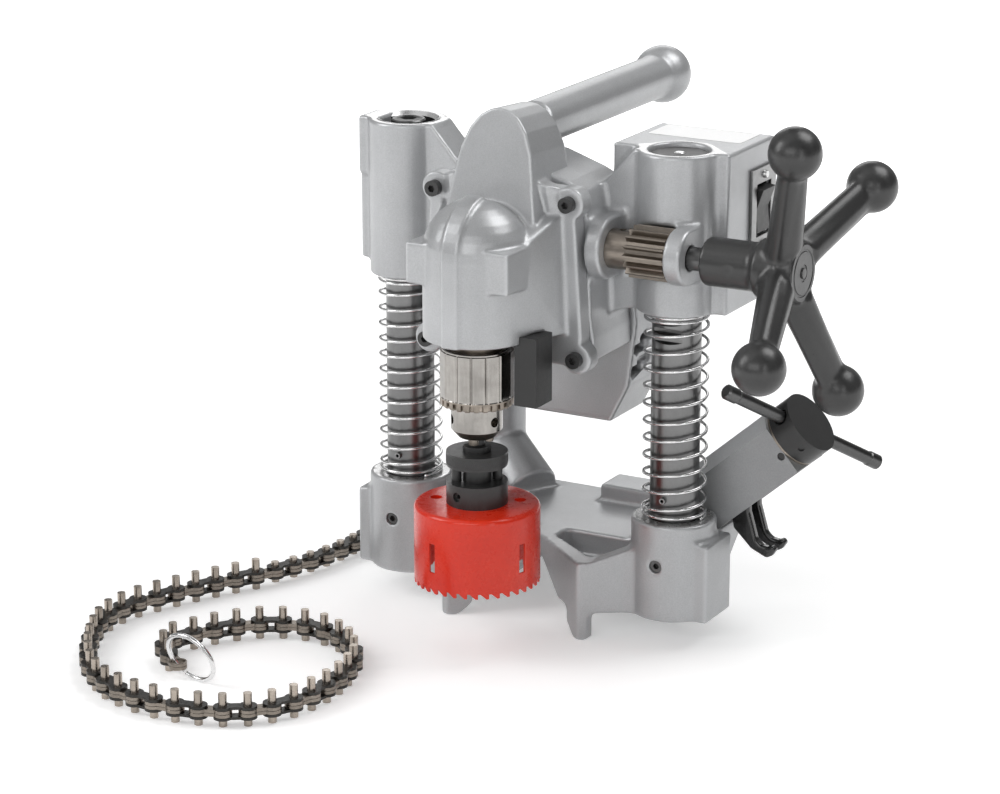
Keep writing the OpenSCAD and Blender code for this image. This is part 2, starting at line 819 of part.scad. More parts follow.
module nose_root() {
    low = cover_side_half * nose_root_share;
    hull() {
        front_view(cover_face - overrun, cover_face) polygon([[-cover_side_half, case_top - 4 * wall],
            [cover_side_half, case_top - 4 * wall], [low, nose_bottom], [-low, nose_bottom]]);
        at_spindle() translate([0, 0, nose_bottom])
            cylinder(r = nose_r, h = nose_round_z - nose_bottom, $fn = nose_fn);
    }
}

// The raised strip up the front of the nose and over its dome
module nose_rib() {
    inside = spindle_y - nose_r + wall;
    over = [nose_r + rib_t, dome_h + rib_t];
    side_view(-rib_half, rib_half) polygon(concat([[spindle_y, nose_round_z], [inside, nose_round_z],
        [inside, nose_bottom], [spindle_y - over[0], nose_bottom]],
        [for (a = [0:10:90]) [spindle_y - over[0] * cos(a), nose_round_z + over[1] * sin(a)]]));
}

module front_housing() color("silver") {
    difference() {
        union() {
            front_view(cover_face, case_front) cover_plate();
            for (p = cover_screws()) translate([p[0], 0, p[1]]) along_y(cover_face)
                cylinder(r = screw_lug_r, h = cover_t);
            difference() {
                nose_root();
                holder_block();
            }
            nose_rib();
            at_spindle() translate([0, 0, nose_bottom]) cylinder(r = nose_r, h = nose_round_z - nose_bottom);
            at_spindle() translate([0, 0, nose_round_z]) rotate_extrude() polygon(concat([[0, 0]],
                [for (a = [0:10:90]) [nose_r * cos(a), dome_h * sin(a)]]));
            fin();
            translate([-nose_pad_half, nose_pad_y[0], nose_pad_z[0]])
                cube([2 * nose_pad_half, nose_pad_y[1] - nose_pad_y[0], nose_pad_z[1] - nose_pad_z[0]]);
            translate([0, 0, handle_z]) along_y(case_front)
                cylinder(d = handle_d, h = handle_reach - case_front);
            translate([0, handle_reach, handle_z]) sphere(d = handle_ball_d);
        }
        at_spindle() {
            translate([0, 0, nose_bottom - overrun])
                cylinder(r = nose_bore_r, h = spindle_low_bearing - nose_bottom + overrun);
            translate([0, 0, spindle_low_bearing - overrun])
                cylinder(d = big_bearing_d, h = bearing_t + 2 * overrun);
            translate([0, 0, spindle_low_bearing + bearing_t])
                cylinder(r = nose_inside_r, h = spindle_high_bearing - spindle_low_bearing - bearing_t - wall / 2);
            translate([0, 0, nose_round_z])
                cylinder(d = upper_bearing_d, h = spindle_high_bearing + bearing_t - nose_round_z);
            translate([0, 0, spindle_high_bearing])
                cylinder(d = spindle_neck_d + 2 * neck_clear, h = spindle_top - spindle_high_bearing + overrun);
        }
        translate([0, 0, lay_z]) {
            along_y(spindle_y + spindle_neck_d) cylinder(r = bevel_r * bevel_room_share,
                h = case_front - spindle_y - spindle_neck_d - bearing_t - bevel_room_end);
            along_y(case_front - bearing_t) cylinder(d = bearing_d, h = bearing_t + overrun);
            along_y(case_front - 2 * bearing_t)
                cylinder(d = lay_shaft_d + 2 * shaft_clear, h = bearing_t + overrun);
        }
        for (p = cover_screws()) translate([p[0], 0, p[1]]) along_y(cover_face - overrun)
            cylinder(d = cap_thread_d, h = cover_t + 2 * overrun);
    }
}

module cap_screw(length) {
    difference() {
        union() {
            cylinder(d = cap_thread_d, h = length);
            translate([0, 0, -cap_screw_h]) cylinder(d = cap_screw_d, h = cap_screw_h);
        }
        translate([0, 0, -cap_screw_h - overrun])
            cylinder(d = cap_socket_d, h = socket_deep + overrun, $fn = hex_fn);
    }
}

module cover_screws_set() {
    for (p = cover_screws()) translate([p[0], 0, p[1]]) along_y(cover_face) cap_screw(cap_thread_len - overrun);
}

module head_cap_screws() color("dimgray") {
    cover_screws_set();
    bell_screws();
}

module motor_housing() color("silver") difference() {
    front_view(motor_front, motor_step) motor_outline(1);
    translate([0, 0, motor_z]) {
        along_y(motor_front + wall) cylinder(r = motor_bore_r, h = motor_step);
        along_y(motor_front - overrun) cylinder(d = motor_shaft_d + 2 * shaft_clear, h = wall + 2 * overrun);
    }
    for (z = side_vent_z) translate([-motor_half_h, motor_front + side_vent[2], z])
        cube([2 * motor_half_h, side_vent[1], side_vent[0]]);
}

module motor_end_bell() color("#222222") difference() {
    union() {
        front_view(motor_step, motor_step + bell_rim) motor_outline(bell_rim_share);
        translate([0, 0, motor_z]) along_y(motor_step) cylinder(d = bell_d, h = motor_back - motor_step);
    }
    translate([0, 0, motor_z]) {
        along_y(motor_step - overrun)
            cylinder(r = motor_bore_r, h = motor_back - bell_wall - motor_step - bearing_t + overrun);
        along_y(motor_back - bell_wall - bearing_t - overrun) cylinder(d = bearing_d, h = bearing_t + overrun);
        for (i = [0:bell_vents - 1]) rotate([0, 360 * (i + 1 / 2) / bell_vents, 0])
            translate([motor_bore_r - bell_wall, motor_back - bell_wall - bell_vent_len - bearing_t,
                -bell_vent_w / 2])
                cube([motor_half_h, bell_vent_len, bell_vent_w]);
    }
}

module bell_screws() for (a = [45:90:315]) translate([0, 0, motor_z]) rotate([0, a, 0])
    translate([bell_screw_r, 0, 0]) along_y(motor_step + bell_rim) cylinder(d = bell_screw_d, h = bell_screw_h);

/* Motor and gear train */

module rotor_shaft() color("silver") translate([0, 0, motor_z]) {
    along_y(lay_gear_y) cylinder(d = motor_shaft_d, h = motor_back - bell_wall - move_gap - lay_gear_y);
    front_view(lay_gear_y, lay_gear_y + lay_gear_t + overrun) gear_outline(motor_teeth, lay_module);
}
module on_rotor(y0, y1, outer) {
    translate([0, 0, motor_z]) along_y(y0) ring(outer, motor_shaft_d, y1 - y0);
}
module armature() color("peru") {
    on_rotor(core_y[0], core_y[1], core_d);
    on_rotor(commutator_y[0], commutator_y[1], commutator_d);
}
module cooling_fan() color("#333333") union() {
    on_rotor(fan_y[0], fan_y[1], fan_hub_d);
    on_rotor(fan_y[0], fan_y[0] + fan_disc_t, fan_d);
    translate([0, 0, motor_z]) for (i = [0:fan_blades - 1]) rotate([0, 360 * i / fan_blades, 0])
        translate([fan_hub_d / 2 - overrun, fan_y[0], -fan_blade_t / 2])
            cube([(fan_d - fan_hub_d) / 2, fan_y[1] - fan_y[0], fan_blade_t]);
}
module stator() color("gray") translate([0, 0, motor_z]) along_y(core_y[0])
    ring(stator_d, stator_bore_d, core_y[1] - core_y[0]);
module carbon_brushes() {
    brushes();
    brush_holders();
}
module brushes() color("#222222") for (side = [-1, 1])
    translate([side * (commutator_d / 2 + brush_len / 2 + move_gap), mean(commutator_y), motor_z])
        cube([brush_len, 2 * brush_z_half, 2 * brush_z_half], center = true);
module brush_holders() color("peru") for (side = [-1, 1]) {
    inner = commutator_d / 2 + brush_inset;
    outer = sqrt(pow(motor_bore_r, 2) - pow(2 * brush_z_half, 2));
    translate([side * (inner + outer) / 2, mean(commutator_y), motor_z]) difference() {
        cube([outer - inner, 4 * brush_z_half, 4 * brush_z_half], center = true);
        translate([-side * (outer - inner - brush_len) / 2, 0, 0])
            cube([brush_len + overrun, 2 * brush_z_half, 2 * brush_z_half], center = true);
    }
}
module ball_bearings() {
    motor_bearings();
    layshaft_bearings();
    spindle_bearings();
}
module motor_bearings() color("silver") translate([0, 0, motor_z]) {
    along_y(case_back - case_wall) ring(bearing_d, motor_shaft_d + 2 * run_gap, bearing_t);
    along_y(motor_back - bell_wall - bearing_t) ring(bearing_d, motor_shaft_d + 2 * run_gap, bearing_t);
}
module layshaft() color("silver") translate([0, 0, lay_z]) {
    nose = spindle_y + face_r - lay_nose;
    along_y(nose) cylinder(d = lay_shaft_d, h = case_back - move_gap - nose);
    front_view(nose + overrun, nose + overrun + lay_pinion_t) gear_outline(bevel_teeth, face_module);
}
module layshaft_gear() color("gray") translate([0, 0, lay_z]) difference() {
    front_view(lay_gear_y, lay_gear_y + lay_gear_t) gear_outline(lay_teeth, lay_module);
    along_y(lay_gear_y - overrun) cylinder(d = lay_shaft_d, h = lay_gear_t + 2 * overrun);
}
module layshaft_bearings() color("silver") translate([0, 0, lay_z]) {
    along_y(case_back - case_wall) ring(bearing_d, lay_shaft_d + 2 * run_gap, bearing_t);
    along_y(case_front - bearing_t) ring(bearing_d, lay_shaft_d + 2 * run_gap, bearing_t);
}
module spindle() color("silver") at_spindle() {
    translate([0, 0, spindle_socket]) cylinder(d = spindle_neck_d, h = spindle_top - spindle_socket);
    translate([0, 0, chuck_body_top]) cylinder(d = spindle_d, h = bevel_z + spindle_step - chuck_body_top);
}
module face_gear() color("gray") at_spindle() {
    add = face_module * addendum_share;
    ded = face_module * dedendum_share;
    tooth = [face_r * face_tooth_share[0], face_module * face_tooth_share[1],
        add * face_tooth_share[2] + ded + overrun];
    difference() {
        translate([0, 0, bevel_z - face_t]) cylinder(r = face_r + face_rim, h = face_t - ded);
        translate([0, 0, bevel_z - face_t - overrun]) cylinder(d = spindle_d, h = face_t + 2 * overrun);
    }
    for (i = [0:face_teeth - 1]) rotate(360 * (i + 1 / 2) / face_teeth)
        translate([face_r - face_tooth_in, -tooth[1] / 2, bevel_z - ded - overrun]) cube(tooth);
}
module spindle_bearings() color("silver") at_spindle() {
    translate([0, 0, spindle_low_bearing]) ring(big_bearing_d, spindle_d + 2 * run_gap, bearing_t);
    translate([0, 0, spindle_high_bearing]) ring(upper_bearing_d, spindle_neck_d + 2 * run_gap, bearing_t);
}
module spindle_seal() color("#222222") at_spindle() translate([0, 0, spindle_low_bearing - seal_t - overrun])
    ring(2 * nose_bore_r, spindle_d + 2 * move_gap, seal_t);

/* Chuck, arbor and hole saw */

module chuck_body() color("silver") at_spindle() difference() {
    rotate_extrude() polygon([[0, chuck_nose_z], [chuck_nose_r[0], chuck_nose_z],
        [chuck_nose_r[1], chuck_nose_z + chuck_nose_edge], [chuck_nose_r[1], chuck_low + chuck_step],
        [chuck_body_r, chuck_low + chuck_step], [chuck_body_r, chuck_high],
        [chuck_nose_r[1], chuck_high], [chuck_nose_r[1], chuck_body_top], [0, chuck_body_top]]);
    translate([0, 0, chuck_nose_z - overrun])
        cylinder(r = chuck_mouth_r, h = shank_top - chuck_nose_z + 2 * overrun);
    translate([0, 0, spindle_socket]) cylinder(d = spindle_neck_d, h = chuck_body_top);
    for (i = [0:2]) jaw_bore(i);
    for (a = key_turns) rotate(a - 90) translate([0, 0, key_hole_z]) along_x(chuck_nose_r[1] - key_hole_deep)
        cylinder(d = key_hole_d, h = key_hole_deep + overrun);
}

module jaw_axis(i) {
    rotate(120 * i + jaw_turn) translate([jaw_axis_r, 0, jaw_z]) rotate([0, jaw_tilt, 0]) children();
}
module jaw_bore(i) {
    jaw_axis(i) translate([0, 0, -jaw_len]) cylinder(d = jaw_d + 2 * run_gap, h = 3 * jaw_len);
}
module jaw(i) color("gray") at_spindle() difference() {
    jaw_axis(i) cylinder(d = jaw_d, h = jaw_len);
    translate([0, 0, jaw_z - jaw_len]) cylinder(d = shank_d + 2 * run_gap, h = 3 * jaw_len);
    translate([0, 0, jaw_z - jaw_d]) cylinder(r = chuck_r, h = jaw_d);
}
module chuck_jaw_a() { jaw(0); }
module chuck_jaw_b() { jaw(1); }
module chuck_jaw_c() { jaw(2); }

module chuck_sleeve() color("silver") at_spindle() difference() {
    union() {
        translate([0, 0, chuck_teeth_z]) cylinder(r = chuck_r, h = chuck_high - chuck_teeth_z);
        translate([0, 0, chuck_low])
            cylinder(r1 = chuck_r - chuck_edge, r2 = chuck_r, h = chuck_teeth_z - chuck_low);
    }
    translate([0, 0, chuck_low - overrun])
        cylinder(r = chuck_body_r + run_gap, h = chuck_high - chuck_low + 2 * overrun);
    for (i = [0:flute_count - 1]) rotate(360 * i / flute_count)
        translate([chuck_r + flute_d * flute_share, 0, chuck_teeth_z + flute_rise])
            cylinder(d = flute_d, h = chuck_high - chuck_teeth_z, $fn = 12);
    for (i = [0:flute_count - 1]) rotate(360 * (i + 1 / 2) / flute_count)
        translate([chuck_r, 0, chuck_low - overrun]) cylinder(d = flute_d, h = key_tooth_h, $fn = 8);
}

module arbor() color("#333333") {
    arbor_body();
    arbor_set_screw();
}

module arbor_body() at_spindle() difference() {
    union() {
        translate([0, 0, saw_top - saw_cap_t]) cylinder(d = arbor_body_d, h = arbor_top - saw_top + saw_cap_t);
        translate([0, 0, saw_top]) cylinder(d = collar_ring_d, h = arbor_collar_h);
        translate([0, 0, arbor_top]) cylinder(d = shank_d, h = shank_top - arbor_top);
    }
    translate([0, 0, saw_top - saw_cap_t - overrun]) cylinder(d = pilot_d, h = saw_cap_t + arbor_collar_h);
    for (a = drive_pin_turns) rotate(a) translate([drive_pin_at, 0, saw_top - overrun])
        cylinder(d = drive_pin_d + 2 * run_gap, h = arbor_top - saw_top);
    translate([0, 0, arbor_set_z]) rotate([90, 0, arbor_set_turn]) cylinder(d = hub_screw_d, h = collar_ring_d);
}

module arbor_set_screw() at_spindle() translate([0, 0, arbor_set_z]) rotate([90, 0, arbor_set_turn])
    grub_screw(pilot_d / 2, collar_ring_d / 2 - hub_screw_sunk);

module drive_ring() color("#333333") at_spindle() {
    translate([0, 0, ring_z]) ring(collar_ring_d, arbor_body_d + 2 * run_gap, ring_t);
    for (a = drive_pin_turns) rotate(a) translate([drive_pin_at, 0, saw_top - saw_cap_t + overrun])
        cylinder(d = drive_pin_d, h = ring_z - saw_top + saw_cap_t);
}

module hole_saw() color("orangered") at_spindle() {
    r = saw_d / 2;
    foot = saw_top - saw_h;
    difference() {
        rotate_extrude() polygon(concat([[0, saw_top], [0, saw_top - saw_cap_t],
            [r - saw_wall, saw_top - saw_cap_t], [r - saw_wall, foot], [r, foot]], [for (a = [0:30:90])
            [r - saw_edge_r + saw_edge_r * cos(a), saw_top - saw_edge_r + saw_edge_r * sin(a)]]));
        translate([0, 0, saw_top - saw_cap_t - overrun])
            cylinder(d = arbor_body_d, h = saw_cap_t + 2 * overrun);
        for (a = drive_pin_turns) rotate(a) translate([drive_pin_at, 0, saw_top - saw_cap_t - overrun])
            cylinder(d = drive_pin_d + 2 * run_gap, h = saw_cap_t + 2 * overrun);
        for (a = saw_hole_turns) rotate(a) translate([saw_hole_at, 0, saw_top - saw_cap_t - overrun])
            cylinder(d = saw_hole_d, h = saw_cap_t + 2 * overrun);
        for (a = [0:90:270]) rotate(a + saw_slot_turn) translate([0, -r - overrun, saw_slot_z])
            rotate([-90, 0, 0]) linear_extrude(height = 3 * saw_wall) polygon([
                [-saw_slot[0] / 2, -saw_slot[1] / 2], [saw_slot[0] / 2, -saw_slot[1] / 2],
                [saw_slot[0] / 2, saw_slot[1] / 2], [-saw_slot[0] / 2, saw_slot[1] / 2]]);
        for (i = [0:saw_teeth - 1]) rotate(360 * i / saw_teeth) translate([0, -r - overrun, foot])
            rotate([-90, 0, 0]) linear_extrude(height = 3 * saw_wall) polygon([[0, overrun], [0, -saw_tooth_h],
                [saw_tooth_h / 2, -saw_tooth_h], [PI * saw_d / saw_teeth * saw_gullet_share, overrun]]);
    }
}

module pilot_drill() color("gray") at_spindle() union() {
    translate([0, 0, saw_top - saw_h - pilot_proud + pilot_d / 2])
        cylinder(d = pilot_d, h = saw_h + pilot_proud - pilot_d / 2 + arbor_collar_h - saw_cap_t - overrun);
    translate([0, 0, saw_top - saw_h - pilot_proud]) cylinder(d1 = 0, d2 = pilot_d, h = pilot_d / 2);
}

module holder_block() {
    translate([holder_x[0], holder_y[0], holder_z[0]])
        cube([holder_x[1] - holder_x[0], holder_y[1] - holder_y[0], holder_z[1] - holder_z[0]]);
}

module chuck_key_holder() color("#222222") difference() {
    holder_block();
    at_spindle() translate([0, 0, nose_bottom]) cylinder(r = nose_r, h = nose_round_z);
    translate([(holder_x[0] + holder_x[1]) / 2, (holder_y[0] + holder_y[1]) / 2, holder_z[0] - overrun])
        cylinder(d = key_hole_d, h = 3 * key_hole_d);
}

/* Feed */

module feed_shaft() color("dimgray") translate([0, feed_y, feed_z]) difference() {
    along_x(gear_x0 - collar_len - ear_t)
        cylinder(d = feed_shaft_d, h = shaft_end - gear_x0 + collar_len + ear_t);
    translate([gear_x0 - collar_len / 2, 0, -feed_shaft_d]) cylinder(d = pin_d, h = 2 * feed_shaft_d);
}

module feed_pinion() color("#8a7a6a") translate([0, feed_y, feed_z]) difference() {
    union() {
        side_view(gear_x0, gear_x0 + gear_len) gear_outline(gear_teeth, gear_module);
        along_x(gear_x0 - collar_len + run_gap) cylinder(d = collar_d, h = collar_len);
    }
    along_x(gear_x0 - collar_len) cylinder(d = feed_shaft_d, h = collar_len + gear_len + overrun);
    translate([gear_x0 - collar_len / 2, 0, -collar_d]) cylinder(d = pin_d, h = 2 * collar_d);
}

module pinion_pin() color("dimgray")
    translate([gear_x0 - collar_len / 2, feed_y, feed_z - collar_d / 2 + pin_sunk])
        ring(pin_d, roll_bore_d, collar_d - 2 * pin_sunk);

module spoke(turn) {
    tilt = atan(spoke_rise / spoke_reach);
    rotate([turn - 90, 0, 0]) translate([hub_x0 + hub_len + spider_len / 2, 0, 0]) rotate([0, tilt, 0])
        cylinder(r1 = spoke_r0, r2 = spoke_r1, h = spoke_reach / cos(tilt));
    rotate([turn - 90, 0, 0]) translate([hub_x0 + hub_len + spider_len / 2 + spoke_rise, 0, spoke_reach])
        sphere(d = spoke_ball_d);
}

module feed_handle() color("#2b2b2b") {
    spider();
    hub_cap();
}

module spider() translate([0, feed_y, feed_z]) difference() {
    union() {
        along_x(hub_x0) cylinder(d = hub_d, h = hub_len);
        along_x(hub_x0 + hub_len) cylinder(r = spider_r, h = spider_len);
        for (i = [0:3]) spoke(spoke_turn + 90 * i);
    }
    along_x(hub_x0 - overrun) cylinder(d = feed_shaft_d, h = shaft_end - hub_x0 + overrun);
    along_x(hub_x0 + hub_len + spider_len) cylinder(r = spider_r, h = spider_len);
    translate([hub_x0 + hub_len * hub_screw_share, 0, 0]) rotate([90, 0, 0]) translate([0, 0, feed_shaft_d / 2])
        cylinder(d = hub_screw_d, h = hub_d);
}

module hub_set_screw() color("#222222") translate([hub_x0 + hub_len * hub_screw_share, feed_y, feed_z])
    rotate([90, 0, 0]) grub_screw(feed_shaft_d / 2, hub_d / 2 - hub_screw_sunk);

module hub_cap() translate([0, feed_y, feed_z]) along_x(hub_x0 + hub_len + spider_len)
    cylinder(d = hub_cap_d, h = hub_cap_t);

/* Switch and cord inlet */

module switch_plate() color("gray") difference() {
    translate([box_x1, switch_y - plate_w / 2, switch_z - plate_h / 2]) cube([plate_t, plate_w, plate_h]);
    translate([box_x1 - overrun, switch_y - switch_hole[0] / 2, switch_z - switch_hole[1] / 2])
        cube([plate_t + 2 * overrun, switch_hole[0], switch_hole[1]]);
}

module switch_body() color("#222222") difference() {
    translate([box_x1 - switch_deep, switch_y - switch_hole[0] / 2, switch_z - switch_hole[1] / 2])
        cube([switch_deep - rocker_gap, switch_hole[0], switch_hole[1]]);
    translate([box_x1 - rocker_h / 2, switch_y - rocker_w / 2 - move_gap, switch_z - rocker_h / 2 - move_gap])
        cube([rocker_h, rocker_w + 2 * move_gap, rocker_h + 2 * move_gap]);
}

module switch_rocker() color("#1a1a1a") translate([box_x1, switch_y, switch_z]) intersection() {
    translate([0, rocker_w / 2, 0]) rotate([90, 0, 0]) linear_extrude(height = rocker_w) polygon([
        [-rocker_t, 0], [-rocker_t / 2, rocker_gap - rocker_h / 2], [plate_t, rocker_gap - rocker_h / 2],
        [plate_t - rocker_gap, 0], [plate_t + rocker_t / 2, rocker_h / 2 - rocker_lip],
        [-rocker_t / 2, rocker_h / 2 - rocker_gap]]);
    rotate([90, 0, 0]) cylinder(r = rocker_h / 2, h = 2 * rocker_w, center = true);
}

module plate_screws() color("silver") for (side = [-1, 1])
    translate([0, switch_y, switch_z + side * (plate_h / 2 - plate_screw_d)]) along_x(box_x1 + plate_t)
        cylinder(d1 = plate_screw_d, d2 = plate_screw_d - plate_screw_taper, h = plate_screw_h);

module cord_inlet() color("#222222") translate([gland_x, 0, gland_z]) along_y(box_y1) difference() {
    union() {
        cylinder(d = gland_d, h = gland_len / 3);
        cylinder(d1 = gland_d * gland_share[0], d2 = gland_d * gland_share[1], h = gland_len);
    }
    translate([0, 0, -overrun]) cylinder(d = gland_bore_d, h = gland_len + 2 * overrun);
}

/* Chain vise */

module arm_section() {
    w = arm_w / 2;
    h = arm_h / 2;
    polygon([[-w, -h], [w, -h], [w, h], [arm_bevel - w, h], [-w, h - arm_bevel]]);
}

module vise_arm() color("gray") at_arm() difference() {
    side_view(-arm_len, 0) arm_section();
    translate([-arm_len + arm_plate, -arm_w / 2 + arm_wall, -arm_h / 2 + arm_wall])
        cube([arm_len - 2 * arm_plate, arm_w - 2 * arm_wall, arm_h - 2 * arm_wall - arm_bevel / 2]);
    translate([-arm_len + arm_plate, -arm_slot_w / 2, -arm_h / 2 - overrun])
        cube([arm_len - 2 * arm_plate, arm_slot_w, arm_wall + 2 * overrun]);
    along_x(-arm_plate - overrun) cylinder(d = vise_screw_d + 2 * run_gap, h = arm_plate + 2 * overrun);
    along_x(-arm_len - overrun) cylinder(d = arm_bolt_d, h = arm_plate + 2 * overrun);
    translate([-arm_pin_back, -arm_w / 2 - overrun, -arm_h * arm_pin_share]) along_y(0)
        cylinder(d = arm_pin_d, h = arm_wall + 2 * overrun);
}

module arm_fasteners() color("#222222") {
    arm_end_pin();
    arm_bolt();
}

module arm_end_pin() at_arm() translate([-arm_pin_back, -arm_w / 2 + overrun, -arm_h * arm_pin_share])
    along_y(0) cylinder(d = arm_pin_d, h = arm_wall);

module arm_bolt() at_arm() {
    along_x(-arm_len - arm_bolt_grip) cylinder(d = arm_bolt_d, h = arm_bolt_grip + arm_plate);
    along_x(-arm_len + arm_plate) cylinder(d = arm_bolt_head_d, h = arm_bolt_head_h, $fn = hex_fn);
}

module thrust_washer() color("#8a7a5a") at_arm() along_x(0) ring(head_d, vise_screw_d + 2 * run_gap, washer_t);

module vise_screw() color("gray") at_arm() along_x(-vise_tail)
    cylinder(d = vise_screw_d, h = vise_tail + screw_end);

module vise_head() color("#222222") {
    head_body();
    head_pin();
}

module head_body() at_arm() difference() {
    along_x(washer_t) cylinder(d = head_d, h = head_t);
    along_x(washer_t - overrun) cylinder(d = vise_screw_d, h = screw_end - washer_t + overrun);
    translate([bar_s, 0, 0]) rotate([bar_turn, 0, 0]) rotate([90, 0, 0])
        cylinder(d = t_bar_d + 4 * run_gap, h = 2 * head_d, center = true);
    translate([bar_s, 0, 0]) rotate([bar_turn + head_pin_turn + 90, 0, 0])
        translate([0, 0, head_d / 2 - overrun - head_pin_len])
            cylinder(d = head_pin_d, h = head_pin_len + 2 * overrun);
}

module head_pin() at_arm() translate([bar_s, 0, 0]) rotate([bar_turn + head_pin_turn + 90, 0, 0])
    translate([0, 0, head_d / 2 - overrun - head_pin_len]) cylinder(d = head_pin_d, h = head_pin_len);

module t_bar() color("#333333") at_arm() translate([bar_s, 0, 0]) rotate([bar_turn, 0, 0]) rotate([90, 0, 0]) {
    cylinder(d = t_bar_d, h = t_bar_len, center = true);
    for (side = [-1, 1]) translate([0, 0, side * (t_bar_len - t_bar_end_len) / 2])
        cylinder(d = t_bar_end_d, h = t_bar_end_len, center = true);
}

module vise_hook() color("#111111") at_arm() difference() {
    union() {
        translate([-hook_back - hook_block[0], -hook_block[1] / 2, -hook_block[2] / 2]) cube(hook_block);
        for (side = [-1, 1]) translate([-hook_back, side * (prong_gap + prong_t) / 2 + prong_t / 2, 0])
            rotate([90, 0, 0]) linear_extrude(height = prong_t)
                polygon([for (p = prong_share) [p[0] * prong_reach - prong_in, p[1] * prong_reach]]);
    }
    along_x(-hook_back - hook_block[0] - overrun)
        cylinder(d = vise_screw_d + 2 * run_gap, h = hook_block[0] + 2 * overrun);
}

/* Chain */

module plate(i, thick, bore_d) {
    translate([pins[i][0], pins[i][1], 0]) rotate(headings[i]) difference() {
        union() {
            for (x = [0, chain_pitch]) translate([x, 0, 0]) cylinder(r = plate_end_r, h = thick, $fn = post_fn);
            translate([0, -plate_end_r * waist_share, 0])
                cube([chain_pitch, 2 * plate_end_r * waist_share, thick]);
        }
        if (bore_d > 0) for (x = [0, chain_pitch]) translate([x, 0, -overrun])
            cylinder(d = x > 0 && i == link_count - 1 ? ring_hole_d : bore_d, h = thick + 2 * overrun,
                $fn = post_fn);
    }
}

function other_side(z, thick) = 2 * chain_mid - z - thick;
// The pins beside the anchor are shorter and centred on the plates; the others stand on the floor
module chain_pin(i) {
    short = i < short_pins;
    translate([pins[i][0], pins[i][1], short ? chain_mid - short_pin_len / 2 : 0])
        cylinder(d = chain_pin_d, h = short ? short_pin_len : chain_pin_len, $fn = post_fn);
}
module pin_links(a, b) color("#3a3835") for (i = [a:b]) if (i % 2 == 0) {
    for (z = [outer_z, other_side(outer_z, plate_thick)]) translate([0, 0, z]) plate(i, plate_thick, 0);
    chain_pin(i);
    chain_pin(i + 1);
}
module inner_plates(a, b) color("#6a655e") for (i = [a:b]) if (i % 2 == 1)
    for (z = [inner_z, other_side(inner_z, leaf_thick)]) translate([0, 0, z])
        plate(i, leaf_thick, chain_pin_d + 2 * run_gap);

module chain_a_pin_links() { pin_links(0, part_ends[0]); }
module chain_a_inner_plates() { inner_plates(0, part_ends[0]); }
module chain_b_pin_links() { pin_links(part_ends[0] + 1, part_ends[1]); }
module chain_b_inner_plates() { inner_plates(part_ends[0] + 1, part_ends[1]); }
module chain_c_pin_links() { pin_links(part_ends[1] + 1, link_count - 1); }
module chain_c_inner_plates() { inner_plates(part_ends[1] + 1, link_count - 1); }

module chain_anchor() color("dimgray") {
    reach = pins[0];
    tongue = 2 * (chain_mid - inner_z);
    shoulder = reach[0] + plate_end_r + anchor_d / 2;
    difference() {
        union() {
            translate([reach[0], reach[1], inner_z]) cylinder(r = plate_end_r, h = tongue);
            translate([reach[0], reach[1] - anchor_d / 2, inner_z])
                cube([plate_end_r + anchor_d, anchor_d, tongue]);
            translate([0, reach[1], chain_mid]) along_x(shoulder)
                cylinder(d = anchor_d, h = -half - lug_out + anchor_grip - shoulder);
        }
        translate([reach[0], reach[1], 0])
            cylinder(d = chain_pin_d + 2 * run_gap, h = chain_pin_len, $fn = post_fn);
    }
}

// The ring goes down through the last link's hole and stands on the floor
module chain_ring() color("lightgray") translate([pins[link_count][0], pins[link_count][1], chain_mid])
    rotate(ring_turn) rotate([ring_lean, 0, 0])
        translate([-ring_shift - ring_mean_r * cos(ring_at), -ring_mean_r * sin(ring_at), 0]) difference() {
            rotate_extrude() translate([ring_mean_r, 0, 0]) circle(d = ring_wire_d, $fn = post_fn);
            rotate(ring_cut_at) translate([ring_mean_r - ring_wire_d, -ring_cut / 2, -ring_wire_d])
                cube([2 * ring_wire_d, ring_cut, 2 * ring_wire_d]);
        }

base_casting();
left_column();
right_column();
column_roll_pins();
column_set_screws();
left_stop_screw();
right_stop_cap();
left_spring();
right_spring();
carriage_casting();
front_housing();
head_cap_screws();
motor_housing();
motor_end_bell();
rotor_shaft();
armature();
cooling_fan();
stator();
carbon_brushes();
ball_bearings();
layshaft();
layshaft_gear();
spindle();
face_gear();
spindle_seal();
chuck_body();
chuck_jaw_a();
chuck_jaw_b();
chuck_jaw_c();
chuck_sleeve();
arbor();
drive_ring();
hole_saw();
pilot_drill();
chuck_key_holder();
feed_shaft();
feed_pinion();
pinion_pin();
feed_handle();
hub_set_screw();
switch_plate();
switch_body();
switch_rocker();
plate_screws();
cord_inlet();
vise_arm();
arm_fasteners();
thrust_washer();
vise_screw();
vise_head();
t_bar();
vise_hook();
chain_anchor();
chain_a_pin_links();
chain_a_inner_plates();
chain_b_pin_links();
chain_b_inner_plates();
chain_c_pin_links();
chain_c_inner_plates();
chain_ring();
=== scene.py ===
import json
import math
import bpy
import bmesh
import numpy as np
import openvdb
from mathutils import Matrix, Vector


